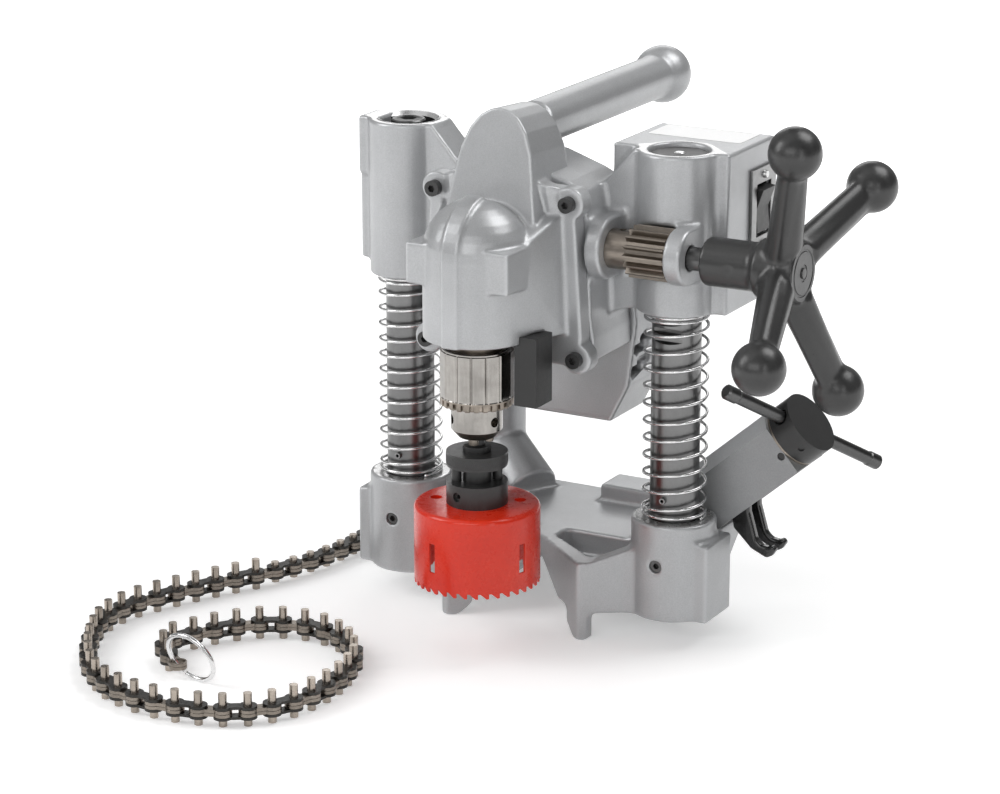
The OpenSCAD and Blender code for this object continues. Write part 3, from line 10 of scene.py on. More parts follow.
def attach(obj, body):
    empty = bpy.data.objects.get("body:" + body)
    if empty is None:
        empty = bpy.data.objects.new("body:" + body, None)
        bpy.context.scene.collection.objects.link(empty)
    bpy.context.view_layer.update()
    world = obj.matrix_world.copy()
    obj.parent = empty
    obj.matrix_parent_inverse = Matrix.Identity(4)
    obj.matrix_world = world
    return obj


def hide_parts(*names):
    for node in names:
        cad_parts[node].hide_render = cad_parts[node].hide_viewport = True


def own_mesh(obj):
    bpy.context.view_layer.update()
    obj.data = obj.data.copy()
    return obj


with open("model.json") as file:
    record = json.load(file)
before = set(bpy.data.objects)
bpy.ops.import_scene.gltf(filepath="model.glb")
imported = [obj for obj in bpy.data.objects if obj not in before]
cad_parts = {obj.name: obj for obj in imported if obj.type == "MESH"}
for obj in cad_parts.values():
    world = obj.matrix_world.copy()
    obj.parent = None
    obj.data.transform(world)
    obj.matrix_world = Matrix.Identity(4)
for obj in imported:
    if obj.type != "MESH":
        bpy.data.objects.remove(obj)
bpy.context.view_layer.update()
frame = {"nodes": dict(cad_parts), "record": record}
nodes = frame["nodes"]
bodyOf = {n: b for b, members in frame["record"]["behaviour"]["bodies"].items() for n in members}
mm = 0.001
columnX = 92.5
coarse = 1.0
print("frame loaded:", len(nodes), "nodes")


# Camera at the photograph's angle

camera = dict(turn=28.85, rise=16.87, reach=2069.5, target=(-28.4, 0.0, 135.06), lens=120.08)


def makeCamera(c):
    data = bpy.data.cameras.new("camera")
    data.sensor_width = 36.0
    data.lens = c["lens"]
    data.clip_start = 0.05
    data.clip_end = 50.0
    a, e = math.radians(c["turn"]), math.radians(c["rise"])
    back = Vector((math.sin(a) * math.cos(e), -math.cos(a) * math.cos(e), math.sin(e)))
    cam = bpy.data.objects.new("camera", data)
    bpy.context.scene.collection.objects.link(cam)
    cam.location = (Vector(c["target"]) + back * c["reach"]) * mm
    cam.rotation_mode = "QUATERNION"
    cam.rotation_quaternion = (-back).to_track_quat("-Z", "Y")
    bpy.context.scene.camera = cam


makeCamera(camera)


# Grain, edge wear with painted edge highlight, and painted shade in hollows: one node group for every finish, with its
# own values in each material

groupInputs = [
    ("Place", "Vector", None), ("Dark", "Color", (0.2, 0.2, 0.2, 1)), ("Light", "Color", (0.3, 0.3, 0.3, 1)),
    ("Wide Scale", "Float", 14.0), ("Mid Scale", "Float", 160.0), ("Grain Scale", "Float", 1400.0),
    ("Stretch", "Vector", (1.0, 1.0, 1.0)), ("Speck", "Float", 0.06), ("Rough Low", "Float", 0.3),
    ("Rough High", "Float", 0.4), ("Edge Wear And Highlight", "Float", 0.0), ("Edge Wear And Highlight Colour", "Color", (0.6, 0.6, 0.6, 1)),
    ("Painted Shade", "Float", 0.0), ("Painted Shade Colour", "Color", (0.05, 0.05, 0.05, 1)), ("Grain Depth", "Float", 0.02),
    ("Mid Depth", "Float", 0.0),
]


def mix(tree, kind, factor, a, b):
    n = tree.nodes.new("ShaderNodeMix")
    n.data_type = "RGBA"
    n.blend_type = kind
    for i, v in ((0, factor), (6, a), (7, b)):
        if hasattr(v, "links"):
            tree.links.new(v, n.inputs[i])
        else:
            n.inputs[i].default_value = v
    return n.outputs[2]


def spread(tree, source, low, high, toLow, toHigh):
    n = tree.nodes.new("ShaderNodeMapRange")
    tree.links.new(source, n.inputs[0])
    for i, v in enumerate((low, high, toLow, toHigh), 1):
        if hasattr(v, "links"):
            tree.links.new(v, n.inputs[i])
        else:
            n.inputs[i].default_value = v
    return n.outputs[0]


def math2(tree, kind, a, b):
    n = tree.nodes.new("ShaderNodeMath")
    n.operation = kind
    for i, v in enumerate((a, b)):
        if hasattr(v, "links"):
            tree.links.new(v, n.inputs[i])
        else:
            n.inputs[i].default_value = v
    return n.outputs[0]


def makeGroup():
    g = bpy.data.node_groups.new("grainWearAndShade", "ShaderNodeTree")
    for name, kind, start in groupInputs:
        s = g.interface.new_socket(name=name, in_out="INPUT", socket_type="NodeSocket" + kind)
        if start is not None:
            s.default_value = start
    for name, kind in (("Colour", "Color"), ("Roughness", "Float"), ("Normal", "Vector")):
        g.interface.new_socket(name=name, in_out="OUTPUT", socket_type="NodeSocket" + kind)
    start, end = g.nodes.new("NodeGroupInput"), g.nodes.new("NodeGroupOutput")
    i = start.outputs

    def noise(scale, detail, rough, coords):
        n = g.nodes.new("ShaderNodeTexNoise")
        n.inputs["Detail"].default_value = detail
        n.inputs["Roughness"].default_value = rough
        g.links.new(scale, n.inputs["Scale"])
        g.links.new(coords, n.inputs["Vector"])
        return n.outputs["Fac"]

    stretched = g.nodes.new("ShaderNodeVectorMath")
    stretched.operation = "MULTIPLY"
    g.links.new(i["Place"], stretched.inputs[0])
    g.links.new(i["Stretch"], stretched.inputs[1])
    wide = noise(i["Wide Scale"], 4.0, 0.6, i["Place"])
    middle = noise(i["Mid Scale"], 5.0, 0.7, i["Place"])
    grain = noise(i["Grain Scale"], 3.0, 0.65, stretched.outputs[0])
    colour = mix(g, "MIX", spread(g, wide, 0.3, 0.7, 0.0, 1.0), i["Dark"], i["Light"])
    speck = spread(g, grain, 0.35, 0.65, math2(g, "SUBTRACT", 1.0, i["Speck"]), math2(g, "ADD", 1.0, i["Speck"]))
    colour = mix(g, "MULTIPLY", 1.0, colour, speck)
    shape = g.nodes.new("ShaderNodeNewGeometry").outputs["Pointiness"]
    # edge wear and painted highlight: a lighter colour on sharp outer edges (high pointiness), partly rubbed metal and
    # partly standing in for light caught on the edges
    colour = mix(g, "MIX", spread(g, shape, 0.51, 0.58, 0.0, i["Edge Wear And Highlight"]), colour, i["Edge Wear And Highlight Colour"])
    # painted shade: a darker colour where the surface is hollow (low pointiness), standing in for the shade in corners
    # and creases
    colour = mix(g, "MIX", spread(g, shape, 0.49, 0.42, 0.0, i["Painted Shade"]), colour, i["Painted Shade Colour"])
    g.links.new(colour, end.inputs["Colour"])
    g.links.new(spread(g, middle, 0.25, 0.75, i["Rough Low"], i["Rough High"]), end.inputs["Roughness"])
    last = None
    for height, depth in ((grain, i["Grain Depth"]), (middle, i["Mid Depth"])):
        b = g.nodes.new("ShaderNodeBump")
        b.inputs["Strength"].default_value = 1.0
        g.links.new(math2(g, "MULTIPLY", depth, mm), b.inputs["Distance"])
        g.links.new(height, b.inputs["Height"])
        if last:
            g.links.new(last, b.inputs["Normal"])
        last = b.outputs["Normal"]
    g.links.new(last, end.inputs["Normal"])
    return g


grainWearAndShade = makeGroup()


def surface(name, s):
    m = bpy.data.materials.new(name)
    m.use_nodes = True
    tree = m.node_tree
    p = tree.nodes["Principled BSDF"]
    p.inputs["Metallic"].default_value = s.get("metal", 0.0)
    p.inputs["IOR"].default_value = s.get("ior", 1.5)
    p.inputs["Specular IOR Level"].default_value = s.get("spec", 0.5)
    p.inputs["Coat Weight"].default_value = s.get("coat", 0.0)
    p.inputs["Coat Roughness"].default_value = s.get("coatRough", 0.1)
    place = tree.nodes.new("ShaderNodeTexCoord")
    g = tree.nodes.new("ShaderNodeGroup")
    g.node_tree = grainWearAndShade
    tree.links.new(place.outputs["Object"], g.inputs["Place"])
    low, high = s["rough"]
    given = {"Dark": s["dark"], "Light": s["light"], "Rough Low": low, "Rough High": high,
             "Wide Scale": s.get("wide", 14.0), "Mid Scale": s.get("mid", 160.0), "Grain Scale": s.get("grain", 1400.0),
             "Stretch": s.get("stretch", (1, 1, 1)), "Speck": s.get("speck", 0.06), "Edge Wear And Highlight": s.get("edgeWearAndHighlight", 0.0),
             "Edge Wear And Highlight Colour": s.get("edgeWearAndHighlightColour", grey(0.6)), "Painted Shade": s.get("paintedShade", 0.0),
             "Painted Shade Colour": s.get("paintedShadeColour", grey(0.05)), "Grain Depth": s.get("grainDeep", 0.02),
             "Mid Depth": s.get("midDeep", 0.0)}
    for key, v in given.items():
        g.inputs[key].default_value = v
    for key, socket in (("Colour", "Base Color"), ("Roughness", "Roughness"), ("Normal", "Normal")):
        tree.links.new(g.outputs[key], p.inputs[socket])
    return m


def grey(v, tint=(1.0, 1.0, 1.0)):
    return (v * tint[0], v * tint[1], v * tint[2], 1.0)


cool = (0.985, 1.0, 1.02)
warm = (1.05, 1.0, 0.94)
brown = (1.14, 1.0, 0.86)
finishes = {
    # cast aluminium takes the painted shade in its hollows, and lighter outer edges that are partly wear and partly
    # painted highlight
    "castAluminium": dict(dark=grey(0.41, cool), light=grey(0.47, cool), metal=0.45, rough=(0.31, 0.42), grain=1500,
                          grainDeep=0.06, mid=220, midDeep=0.05, wide=20, speck=0.08, edgeWearAndHighlight=0.5,
                          edgeWearAndHighlightColour=grey(0.78, cool), paintedShade=0.45, paintedShadeColour=grey(0.26, cool)),
    "machined": dict(dark=grey(0.56), light=grey(0.66), metal=0.9, rough=(0.24, 0.34), grain=700, grainDeep=0.008,
                     stretch=(1, 1, 20), mid=400),
    "groundSteel": dict(dark=grey(0.17), light=grey(0.21), metal=1.0, rough=(0.27, 0.33), grain=900, grainDeep=0.004,
                        mid=300, wide=30, speck=0.03),
    "springWire": dict(dark=grey(0.62), light=grey(0.74), metal=1.0, rough=(0.16, 0.26), grain=900, grainDeep=0.004,
                       mid=300),
    "chromeSteel": dict(dark=grey(0.24, warm), light=grey(0.36, warm), metal=1.0, rough=(0.13, 0.22), grain=500,
                        grainDeep=0.005, stretch=(1, 1, 0.1), mid=250, wide=60),
    "tarnish": dict(dark=grey(0.17, brown), light=grey(0.30, brown), metal=1.0, rough=(0.28, 0.42), grain=700,
                    grainDeep=0.008, mid=220, wide=90),
    "gearSteel": dict(dark=grey(0.17, brown), light=grey(0.26, brown), metal=1.0, rough=(0.26, 0.38), grain=800,
                      grainDeep=0.008, stretch=(0.2, 1, 1), mid=250),
    "blackOxide": dict(dark=grey(0.020), light=grey(0.032), metal=0.0, rough=(0.30, 0.42), grain=1100,
                       grainDeep=0.012, mid=260),
    "blackPlastic": dict(dark=grey(0.014), light=grey(0.022), metal=0.0, rough=(0.34, 0.46), grain=1600,
                         grainDeep=0.035, mid=300, spec=0.5),
    "blackPaint": dict(dark=grey(0.022), light=grey(0.032), metal=0.0, rough=(0.27, 0.38), grain=900, grainDeep=0.05,
                       mid=160, midDeep=0.05, spec=0.6),
    "glossPaint": dict(dark=grey(0.010), light=grey(0.014), metal=0.0, rough=(0.14, 0.22), grain=500, grainDeep=0.02,
                       mid=120, coat=0.4, coatRough=0.08),
    "redEnamel": dict(dark=(0.60, 0.014, 0.004, 1), light=(0.76, 0.032, 0.007, 1), metal=0.0, rough=(0.24, 0.32),
                      grain=600, grainDeep=0.012, mid=140, coat=0.25, coatRough=0.07, speck=0.03, spec=0.35),
    "chainOuter": dict(dark=grey(0.030, warm), light=grey(0.055, warm), metal=0.8, rough=(0.32, 0.46), grain=900,
                       grainDeep=0.02, mid=260, wide=40),
    "chainInner": dict(dark=grey(0.17, brown), light=grey(0.27, brown), metal=1.0, rough=(0.30, 0.44), grain=900,
                       grainDeep=0.02, mid=260, wide=40),
    "chainPin": dict(dark=grey(0.26, brown), light=grey(0.42, brown), metal=1.0, rough=(0.22, 0.36), grain=900,
                     grainDeep=0.012, mid=260, wide=60),
    "zinc": dict(dark=grey(0.66), light=grey(0.78), metal=1.0, rough=(0.14, 0.24), grain=700, grainDeep=0.008, mid=200),
    "brownSteel": dict(dark=grey(0.22, brown), light=grey(0.34, brown), metal=1.0, rough=(0.28, 0.42), grain=800,
                       grainDeep=0.01, mid=240),
    "copper": dict(dark=(0.50, 0.20, 0.09, 1), light=(0.66, 0.29, 0.14, 1), metal=1.0, rough=(0.25, 0.4), grain=500,
                   grainDeep=0.02, mid=200),
    "greySteel": dict(dark=grey(0.24), light=grey(0.34), metal=1.0, rough=(0.28, 0.42), grain=800, grainDeep=0.01,
                      mid=240),
    "darkSteel": dict(dark=grey(0.09), light=grey(0.14), metal=1.0, rough=(0.26, 0.38), grain=800, grainDeep=0.01,
                      mid=240),
    # near black: the stop screw's own colour, and painted shade inside the left sleeve's bore
    "sootBlack": dict(dark=grey(0.008), light=grey(0.014), metal=0.0, rough=(0.5, 0.6), spec=0.2, mid=200),
    "discSteel": dict(dark=grey(0.045), light=grey(0.07), metal=0.2, rough=(0.40, 0.50), spec=0.3, mid=200, wide=60),
    "armPaint": dict(dark=grey(0.28, cool), light=grey(0.34, cool), metal=0.3, rough=(0.32, 0.44), grain=1300,
                     grainDeep=0.04, mid=220),
    "paleLabel": dict(dark=grey(0.78), light=grey(0.84), metal=0.0, rough=(0.30, 0.40), grain=900, grainDeep=0.004,
                      mid=200, speck=0.02),
    "platePaint": dict(dark=grey(0.60, cool), light=grey(0.66, cool), metal=0.3, rough=(0.30, 0.38), grain=900,
                       grainDeep=0.01, mid=200, speck=0.03),
}
look = {name: surface(name, s) for name, s in finishes.items()}
print("finishes:", len(look))


# Mesh helpers

def finish(name, bm, material, node, sharp=30.0, turn=None):
    if turn:
        bmesh.ops.transform(bm, matrix=turn, verts=bm.verts)
    bmesh.ops.recalc_face_normals(bm, faces=bm.faces)
    bmesh.ops.scale(bm, vec=(mm, mm, mm), verts=bm.verts)
    mesh = bpy.data.meshes.new(name)
    bm.to_mesh(mesh)
    bm.free()
    obj = bpy.data.objects.new(name, mesh)
    bpy.context.scene.collection.objects.link(obj)
    for m in ([material] if isinstance(material, str) else material):
        mesh.materials.append(look[m])
    mesh.shade_smooth()
    if sharp:
        mesh.set_sharp_from_angle(angle=math.radians(sharp))
    if node:
        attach(obj, bodyOf[node])
    return obj


def addModifier(obj, kind, **values):
    m = obj.modifiers.new(kind.lower(), kind)
    for k, v in values.items():
        setattr(m, k, v)
    return m


def applyModifiers(obj):
    dg = bpy.context.evaluated_depsgraph_get()
    mesh = bpy.data.meshes.new_from_object(obj.evaluated_get(dg), depsgraph=dg)
    old = obj.data
    obj.modifiers.clear()
    obj.data = mesh
    bpy.data.meshes.remove(old)


def along(axis, at):
    # puts a shape made along Z on another axis, at a point
    turn = {"x": Matrix.Rotation(math.radians(90), 4, "Y"), "y": Matrix.Rotation(math.radians(-90), 4, "X"),
            "z": Matrix.Identity(4)}[axis]
    return Matrix.Translation(at) @ turn


def addRod(bm, axis, at, radius, length, sides=28):
    made = bmesh.ops.create_cone(bm, cap_ends=True, segments=sides, radius1=radius, radius2=radius, depth=length)
    bmesh.ops.translate(bm, vec=(0, 0, length / 2), verts=made["verts"])
    bmesh.ops.transform(bm, matrix=along(axis, at), verts=made["verts"])


def addBlock(bm, low, high):
    made = bmesh.ops.create_cube(bm, size=1.0)
    size = [b - a for a, b in zip(low, high)]
    bmesh.ops.scale(bm, vec=size, verts=made["verts"])
    bmesh.ops.translate(bm, vec=[(a + b) / 2 for a, b in zip(low, high)], verts=made["verts"])


def pull(bm, faces, vec):
    # gives flat faces a thickness
    out = bmesh.ops.extrude_face_region(bm, geom=faces)["geom"]
    bmesh.ops.translate(bm, vec=vec, verts=[g for g in out if isinstance(g, bmesh.types.BMVert)])


def nextRing(bm, edges):
    # a new ring of points and edges, joined to an open one
    out = bmesh.ops.extrude_edge_only(bm, edges=edges)["geom"]
    ring = [g for g in out if isinstance(g, bmesh.types.BMVert)]
    keep = set(ring)
    return ring, [g for g in out if isinstance(g, bmesh.types.BMEdge) and keep.issuperset(g.verts)]


def closeEnds(bm):
    bmesh.ops.bridge_loops(bm, edges=[e for e in bm.edges if e.is_boundary])


def triangles(mesh):
    mesh.calc_loop_triangles()
    pts = np.empty(len(mesh.vertices) * 3, np.float32)
    mesh.vertices.foreach_get("co", pts)
    tri = np.empty(len(mesh.loop_triangles) * 3, np.int32)
    mesh.loop_triangles.foreach_get("vertices", tri)
    return pts.reshape(-1, 3) / mm, tri.reshape(-1, 3).astype(np.uint32)


def levelSet(pts, tri, quads, voxel, outside, inside):
    return openvdb.FloatGrid.createLevelSetFromPolygons(
        pts.astype(np.float32), tri, quads, openvdb.createLinearTransform(voxel),
        exBandWidth=outside / voxel + 3.0, inBandWidth=inside / voxel + 3.0)


def roundedMesh(pts, tri, voxel, fillet, edge):
    # grown and shrunk fills the inner corners to one radius, shrunk and grown rounds the outer ones to another
    pts, quads = levelSet(pts, tri, None, voxel, fillet, 0.0).convertToQuads(fillet)
    pts, quads = levelSet(pts, None, quads, voxel, 0.0, fillet + edge).convertToQuads(-fillet - edge)
    return levelSet(pts, None, quads, voxel, edge, 0.0).convertToQuads(edge)


def drill(obj, holes):
    bm = bmesh.new()
    for hole in holes:
        if len(hole) == 2:
            addBlock(bm, *hole)
        else:
            addRod(bm, *hole)
    cutWith(obj, bm)


def cutWith(obj, bm):
    cutter = finish(obj.name + "Cutter", bm, "machined", None, 0)
    addModifier(obj, "BOOLEAN", operation="DIFFERENCE", solver="EXACT", object=cutter)
    applyModifiers(obj)
    old = cutter.data
    bpy.data.objects.remove(cutter)
    bpy.data.meshes.remove(old)


def faceLook(obj, material, wanted):
    # gives the faces that a test picks a finish of their own
    mesh = obj.data
    mesh.materials.append(look[material])
    slot = len(mesh.materials) - 1
    count = len(mesh.polygons)
    centre, normal = np.empty(count * 3, np.float32), np.empty(count * 3, np.float32)
    mesh.polygons.foreach_get("center", centre)
    mesh.polygons.foreach_get("normal", normal)
    index = np.empty(count, np.int32)
    mesh.polygons.foreach_get("material_index", index)
    index[wanted(centre.reshape(-1, 3) / mm, normal.reshape(-1, 3))] = slot
    mesh.polygons.foreach_set("material_index", index)


def nearPole(c, x, y, radius):
    return np.hypot(c[:, 0] - x, c[:, 1] - y) < radius


# Carried-over CAD nodes: their finish and their eased edges

nodeLooks = {
    "left_column": ("groundSteel", 0.6), "right_column": ("groundSteel", 0.3), "column_roll_pins": ("greySteel", 0.2),
    "column_set_screws": ("darkSteel", 0.2), "right_stop_cap": ("discSteel", 0.5),
    "head_cap_screws": ("blackOxide", 0.35), "rotor_shaft": ("greySteel", 0),
    "armature": ("copper", 0), "cooling_fan": ("blackPlastic", 0), "stator": ("greySteel", 0),
    "carbon_brushes": ("brownSteel", 0), "ball_bearings": ("machined", 0), "layshaft": ("gearSteel", 0),
    "layshaft_gear": ("gearSteel", 0), "spindle": ("chromeSteel", 0), "face_gear": ("gearSteel", 0),
    "spindle_seal": ("blackPlastic", 0.3), "chuck_body": ("chromeSteel", 0.35), "chuck_jaw_a": ("gearSteel", 0.15),
    "chuck_jaw_b": ("gearSteel", 0.15), "chuck_jaw_c": ("gearSteel", 0.15), "arbor": ("blackOxide", 0.4),
    "drive_ring": ("blackOxide", 0.6), "hole_saw": ("redEnamel", 0.25), "pilot_drill": ("greySteel", 0.1),
    "chuck_key_holder": ("blackPlastic", 0.8), "feed_shaft": ("darkSteel", 0.5), "feed_pinion": ("gearSteel", 0.25),
    "pinion_pin": ("blackOxide", 0.2), "hub_set_screw": ("blackOxide", 0.2), "switch_plate": ("greySteel", 0.4),
    "switch_body": ("blackPlastic", 0.4), "switch_rocker": ("blackPlastic", 0.6), "plate_screws": ("machined", 0.3),
    "cord_inlet": ("blackPlastic", 0.8), "arm_fasteners": ("blackOxide", 0.4), "thrust_washer": ("brownSteel", 0.25),
    "vise_screw": ("greySteel", 0.4), "chain_anchor": ("greySteel", 0.5),
    "chain_ring": ("zinc", 0), "vise_arm": ("armPaint", 0.8), "vise_head": ("blackOxide", 0.8),
    "chain_a_pin_links": ("chainOuter", 0.22), "chain_b_pin_links": ("chainOuter", 0.22),
    "chain_c_pin_links": ("chainOuter", 0.22), "chain_a_inner_plates": ("chainInner", 0.25),
    "chain_b_inner_plates": ("chainInner", 0.25), "chain_c_inner_plates": ("chainInner", 0.25),
}
bevelFrom, sameSpot, normalWeight = math.radians(32), 2e-6, 80
chainPlates = (4.7, 12.5)
armFrontFoot, chuckNeck = 100.0, 190.0


def dress(name, material, bevel):
    obj = nodes[name]
    obj.data.materials.clear()
    obj.data.materials.append(look[material])
    if "custom_normal" in obj.data.attributes:
        obj.data.attributes.remove(obj.data.attributes["custom_normal"])
    obj.data.shade_smooth()
    addModifier(obj, "WELD", merge_threshold=sameSpot)
    if bevel:
        addModifier(obj, "BEVEL", width=bevel * mm, segments=2, limit_method="ANGLE", angle_limit=bevelFrom,
                    miter_outer="MITER_ARC", use_clamp_overlap=True)
    addModifier(obj, "WEIGHTED_NORMAL", keep_sharp=False, weight=normalWeight)


for name, (material, bevel) in nodeLooks.items():
    dress(name, material, bevel)
for name in ("chain_a_pin_links", "chain_b_pin_links", "chain_c_pin_links"):
    faceLook(nodes[name], "chainPin", lambda c, n: (c[:, 2] < chainPlates[0]) | (c[:, 2] > chainPlates[1]))
faceLook(nodes["vise_arm"], "platePaint", lambda c, n: (n[:, 0] < -0.4) & (n[:, 0] > -0.55) & (n[:, 1] < -0.6)
         & (c[:, 2] > armFrontFoot))
faceLook(nodes["chuck_body"], "tarnish", lambda c, n: (n[:, 2] < -0.3) | (c[:, 2] > chuckNeck))
print("nodes dressed:", len(nodeLooks))


# Castings

bossTop, sleeveTop, bossR = 78.0, 305.6, 26.5


fin = dict(foot=262.0, tall=73.0, back=8.0, half=39.0, soft=6.0, dome=284.0, domeBack=-78.0, domeSoft=8.0,
           front=(14.0, 21.0), behind=(-50.0, 36.0), upper=(0.3, 0.6), broad=0.12, drop=3.0, dropBehind=4.5, lean=15.0)
coverForms = dict(edge=[(41, 268), (40, 285.2), (37.4, 286.3), (12, 294.8)], edgeY=-38.3, edgeLong=-11.2,
                  foot=[(28, 285), (24.2, 300)], footY=-37.5, footLong=22.5, ball=(0, 164.6, 312.5), ballR=18.6)
sleeveFlat = dict(low=(-122.4, -11.0, 270.0), high=(-108.0, 11.0, sleeveTop - 0.05))
spokes = dict(hub=(172.0, -28.1, 248.0), count=4, first=24.6 - 90, out=22.5, reach=86.0, root=12.6, tip=11.4,
              length=78.0, middle=47.0, flat=0.68)


def ramp(values, start, over):
    return np.clip((values - start) / over, 0.0, 1.0)


def tuckFin(p, s=fin):
    # the fin's top leans back less than its solid, is a little broader and falls away behind
    x, y, z = p.T
    rise = ramp(z, s["foot"], s["tall"])
    inFin = ramp(-y, s["back"], s["soft"]) * ramp(-abs(x), -s["half"], s["soft"])
    inFin *= np.where(z < s["dome"], ramp(y, s["domeBack"], s["domeSoft"]), 1.0)
    front, behind = ramp(-y, *s["front"]), ramp(y, *s["behind"])
    p[:, 0] *= 1.0 + inFin * ramp(rise, *s["upper"]) * s["broad"]
    p[:, 2] -= inFin * rise * rise * (s["drop"] + s["dropBehind"] * behind)
    p[:, 1] -= inFin * s["lean"] * rise * front
    return p


def addSlab(bm, half, y, length):
    # half an outline in X and Z, mirrored and given its length along Y
    outline = half + [(-x, z) for x, z in reversed(half)]
    pull(bm, [bm.faces.new([bm.verts.new((x, y, z)) for x, z in outline])], (0, length, 0))


def frontExtra(s=coverForms):
    # the cover's top edge, level with the case behind it, the fin's foot on the case and the handle's fuller end ball
    bm = bmesh.new()
    addSlab(bm, s["edge"], s["edgeY"], s["edgeLong"])
    addSlab(bm, s["foot"], s["footY"], s["footLong"])
    made = bmesh.ops.create_uvsphere(bm, u_segments=40, v_segments=24, radius=s["ballR"])
    bmesh.ops.translate(bm, vec=s["ball"], verts=made["verts"])
    return bm


def sleeveFlange(s=sleeveFlat):
    # the flat down the left sleeve runs right up to its top
    bm = bmesh.new()
    addBlock(bm, s["low"], s["high"])
    return bm


def spokeFlanks(s=spokes):
    bm = bmesh.new()
    tilt = Matrix.Rotation(math.atan(s["out"] / s["reach"]), 4, "Y")
    for i in range(s["count"]):
        made = bmesh.ops.create_cone(bm, cap_ends=True, segments=28, radius1=s["root"], radius2=s["tip"],
                                     depth=s["length"])
        bmesh.ops.translate(bm, vec=(0, 0, s["middle"]), verts=made["verts"])
        bmesh.ops.scale(bm, vec=(s["flat"], 1, 1), verts=made["verts"])
        heading = Matrix.Rotation(math.radians(s["first"] + 360 / s["count"] * i), 4, "X")
        bmesh.ops.transform(bm, matrix=Matrix.Translation(s["hub"]) @ heading @ tilt, verts=made["verts"])
    return bm


castings = {
    "baseShell": dict(node="base_casting", material="castAluminium", voxel=0.9, fillet=3.0, edge=0.8,
                      holes=[("y", (side * columnX, -30.0, 52.0), 4.1, 15.5) for side in (-1, 1)]),
    "carriageShell": dict(node="carriage_casting", material="castAluminium", voxel=0.9, fillet=2.5, edge=0.7,
                          extra=sleeveFlange),
    "frontShell": dict(node="front_housing", material="castAluminium", voxel=0.75, fillet=1.5, edge=0.6, smooth=2,
                       extra=frontExtra, reshape=tuckFin),
    "motorShell": dict(node="motor_housing", material="castAluminium", voxel=0.9, fillet=1.2, edge=1.2,
                       holes=[((44, 13.5, 171), (72, 27, 177)), ((40, 13.5, 157), (72, 27, 163))]),
    "bellShell": dict(node="motor_end_bell", material="blackPlastic", voxel=0.9, fillet=1.2, edge=1.2),
    "handleShell": dict(node="feed_handle", material="blackPaint", voxel=0.8, fillet=5.0, edge=0.9,
                        extra=spokeFlanks),
    "hookShell": dict(node="vise_hook", material="glossPaint", voxel=0.5, fillet=1.0, edge=1.2),
}


flatWithin = math.radians(1.2)


def softened(name, c):
    sources = [triangles(nodes[c["node"]].data)]
    if "extra" in c:
        bm = c["extra"]()
        bmesh.ops.recalc_face_normals(bm, faces=bm.faces)
        bmesh.ops.scale(bm, vec=(mm, mm, mm), verts=bm.verts)
        mesh = bpy.data.meshes.new(name + "Extra")
        bm.to_mesh(mesh)
        bm.free()
        sources.append(triangles(mesh))
        bpy.data.meshes.remove(mesh)
    starts = np.cumsum([0] + [len(p) for p, _ in sources])
    pts = np.vstack([p for p, _ in sources])
    tri = np.vstack([t + int(s) for (_, t), s in zip(sources, starts)]).astype(np.uint32)
    pts, quads = roundedMesh(pts, tri, c["voxel"] * coarse, c["fillet"], c["edge"])
    if "reshape" in c:
        pts = c["reshape"](pts.copy())
    mesh = bpy.data.meshes.new(name)
    mesh.vertices.add(len(pts))
    mesh.vertices.foreach_set("co", (pts * mm).ravel())
    mesh.loops.add(len(quads) * 4)
    mesh.loops.foreach_set("vertex_index", quads[:, ::-1].astype(np.int32).ravel())
    mesh.polygons.add(len(quads))
    mesh.polygons.foreach_set("loop_start", np.arange(0, len(quads) * 4, 4, dtype=np.int32))
    mesh.update(calc_edges=True)
    mesh.validate()
    obj = bpy.data.objects.new(name, mesh)
    bpy.context.scene.collection.objects.link(obj)
    mesh.materials.append(look[c["material"]])
    addModifier(obj, "SMOOTH", factor=0.5, iterations=c.get("smooth", 3))
    addModifier(obj, "DECIMATE", decimate_type="DISSOLVE", angle_limit=flatWithin)
    addModifier(obj, "TRIANGULATE", min_vertices=5)
    applyModifiers(obj)
    if "holes" in c:
        drill(obj, c["holes"])
    obj.data.shade_smooth()
    addModifier(obj, "WEIGHTED_NORMAL", keep_sharp=False, weight=normalWeight)
    applyModifiers(obj)
    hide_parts(c["node"])
    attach(obj, bodyOf[c["node"]])
    print(name, len(quads), "quads,", len(obj.data.polygons), "faces kept")
    return obj


shells = {name: softened(name, c) for name, c in castings.items()}

# the tops of the bosses and the sleeves are machined
for name, height in (("baseShell", bossTop), ("carriageShell", sleeveTop)):
    for side in (-1, 1):
        faceLook(shells[name], "machined", lambda c, n: (n[:, 2] > 0.95) & (abs(c[:, 2] - height) < 0.6)
                 & nearPole(c, side * columnX, 0, bossR))


# Return springs: bright wire, closed end turns

springs = {
    "leftCoil": dict(node="left_spring", x=-columnX, curls=15),
    "rightCoil": dict(node="right_spring", x=columnX, curls=14),
}
springFoot, springTop, wire, coilR, endTurns, endPitch, pinZ = 78.0, 207.95, 2.0, 19.0, 1.5, 2.7, 91.5
stepsPerTurn, carriageTravel = 44, 50.0


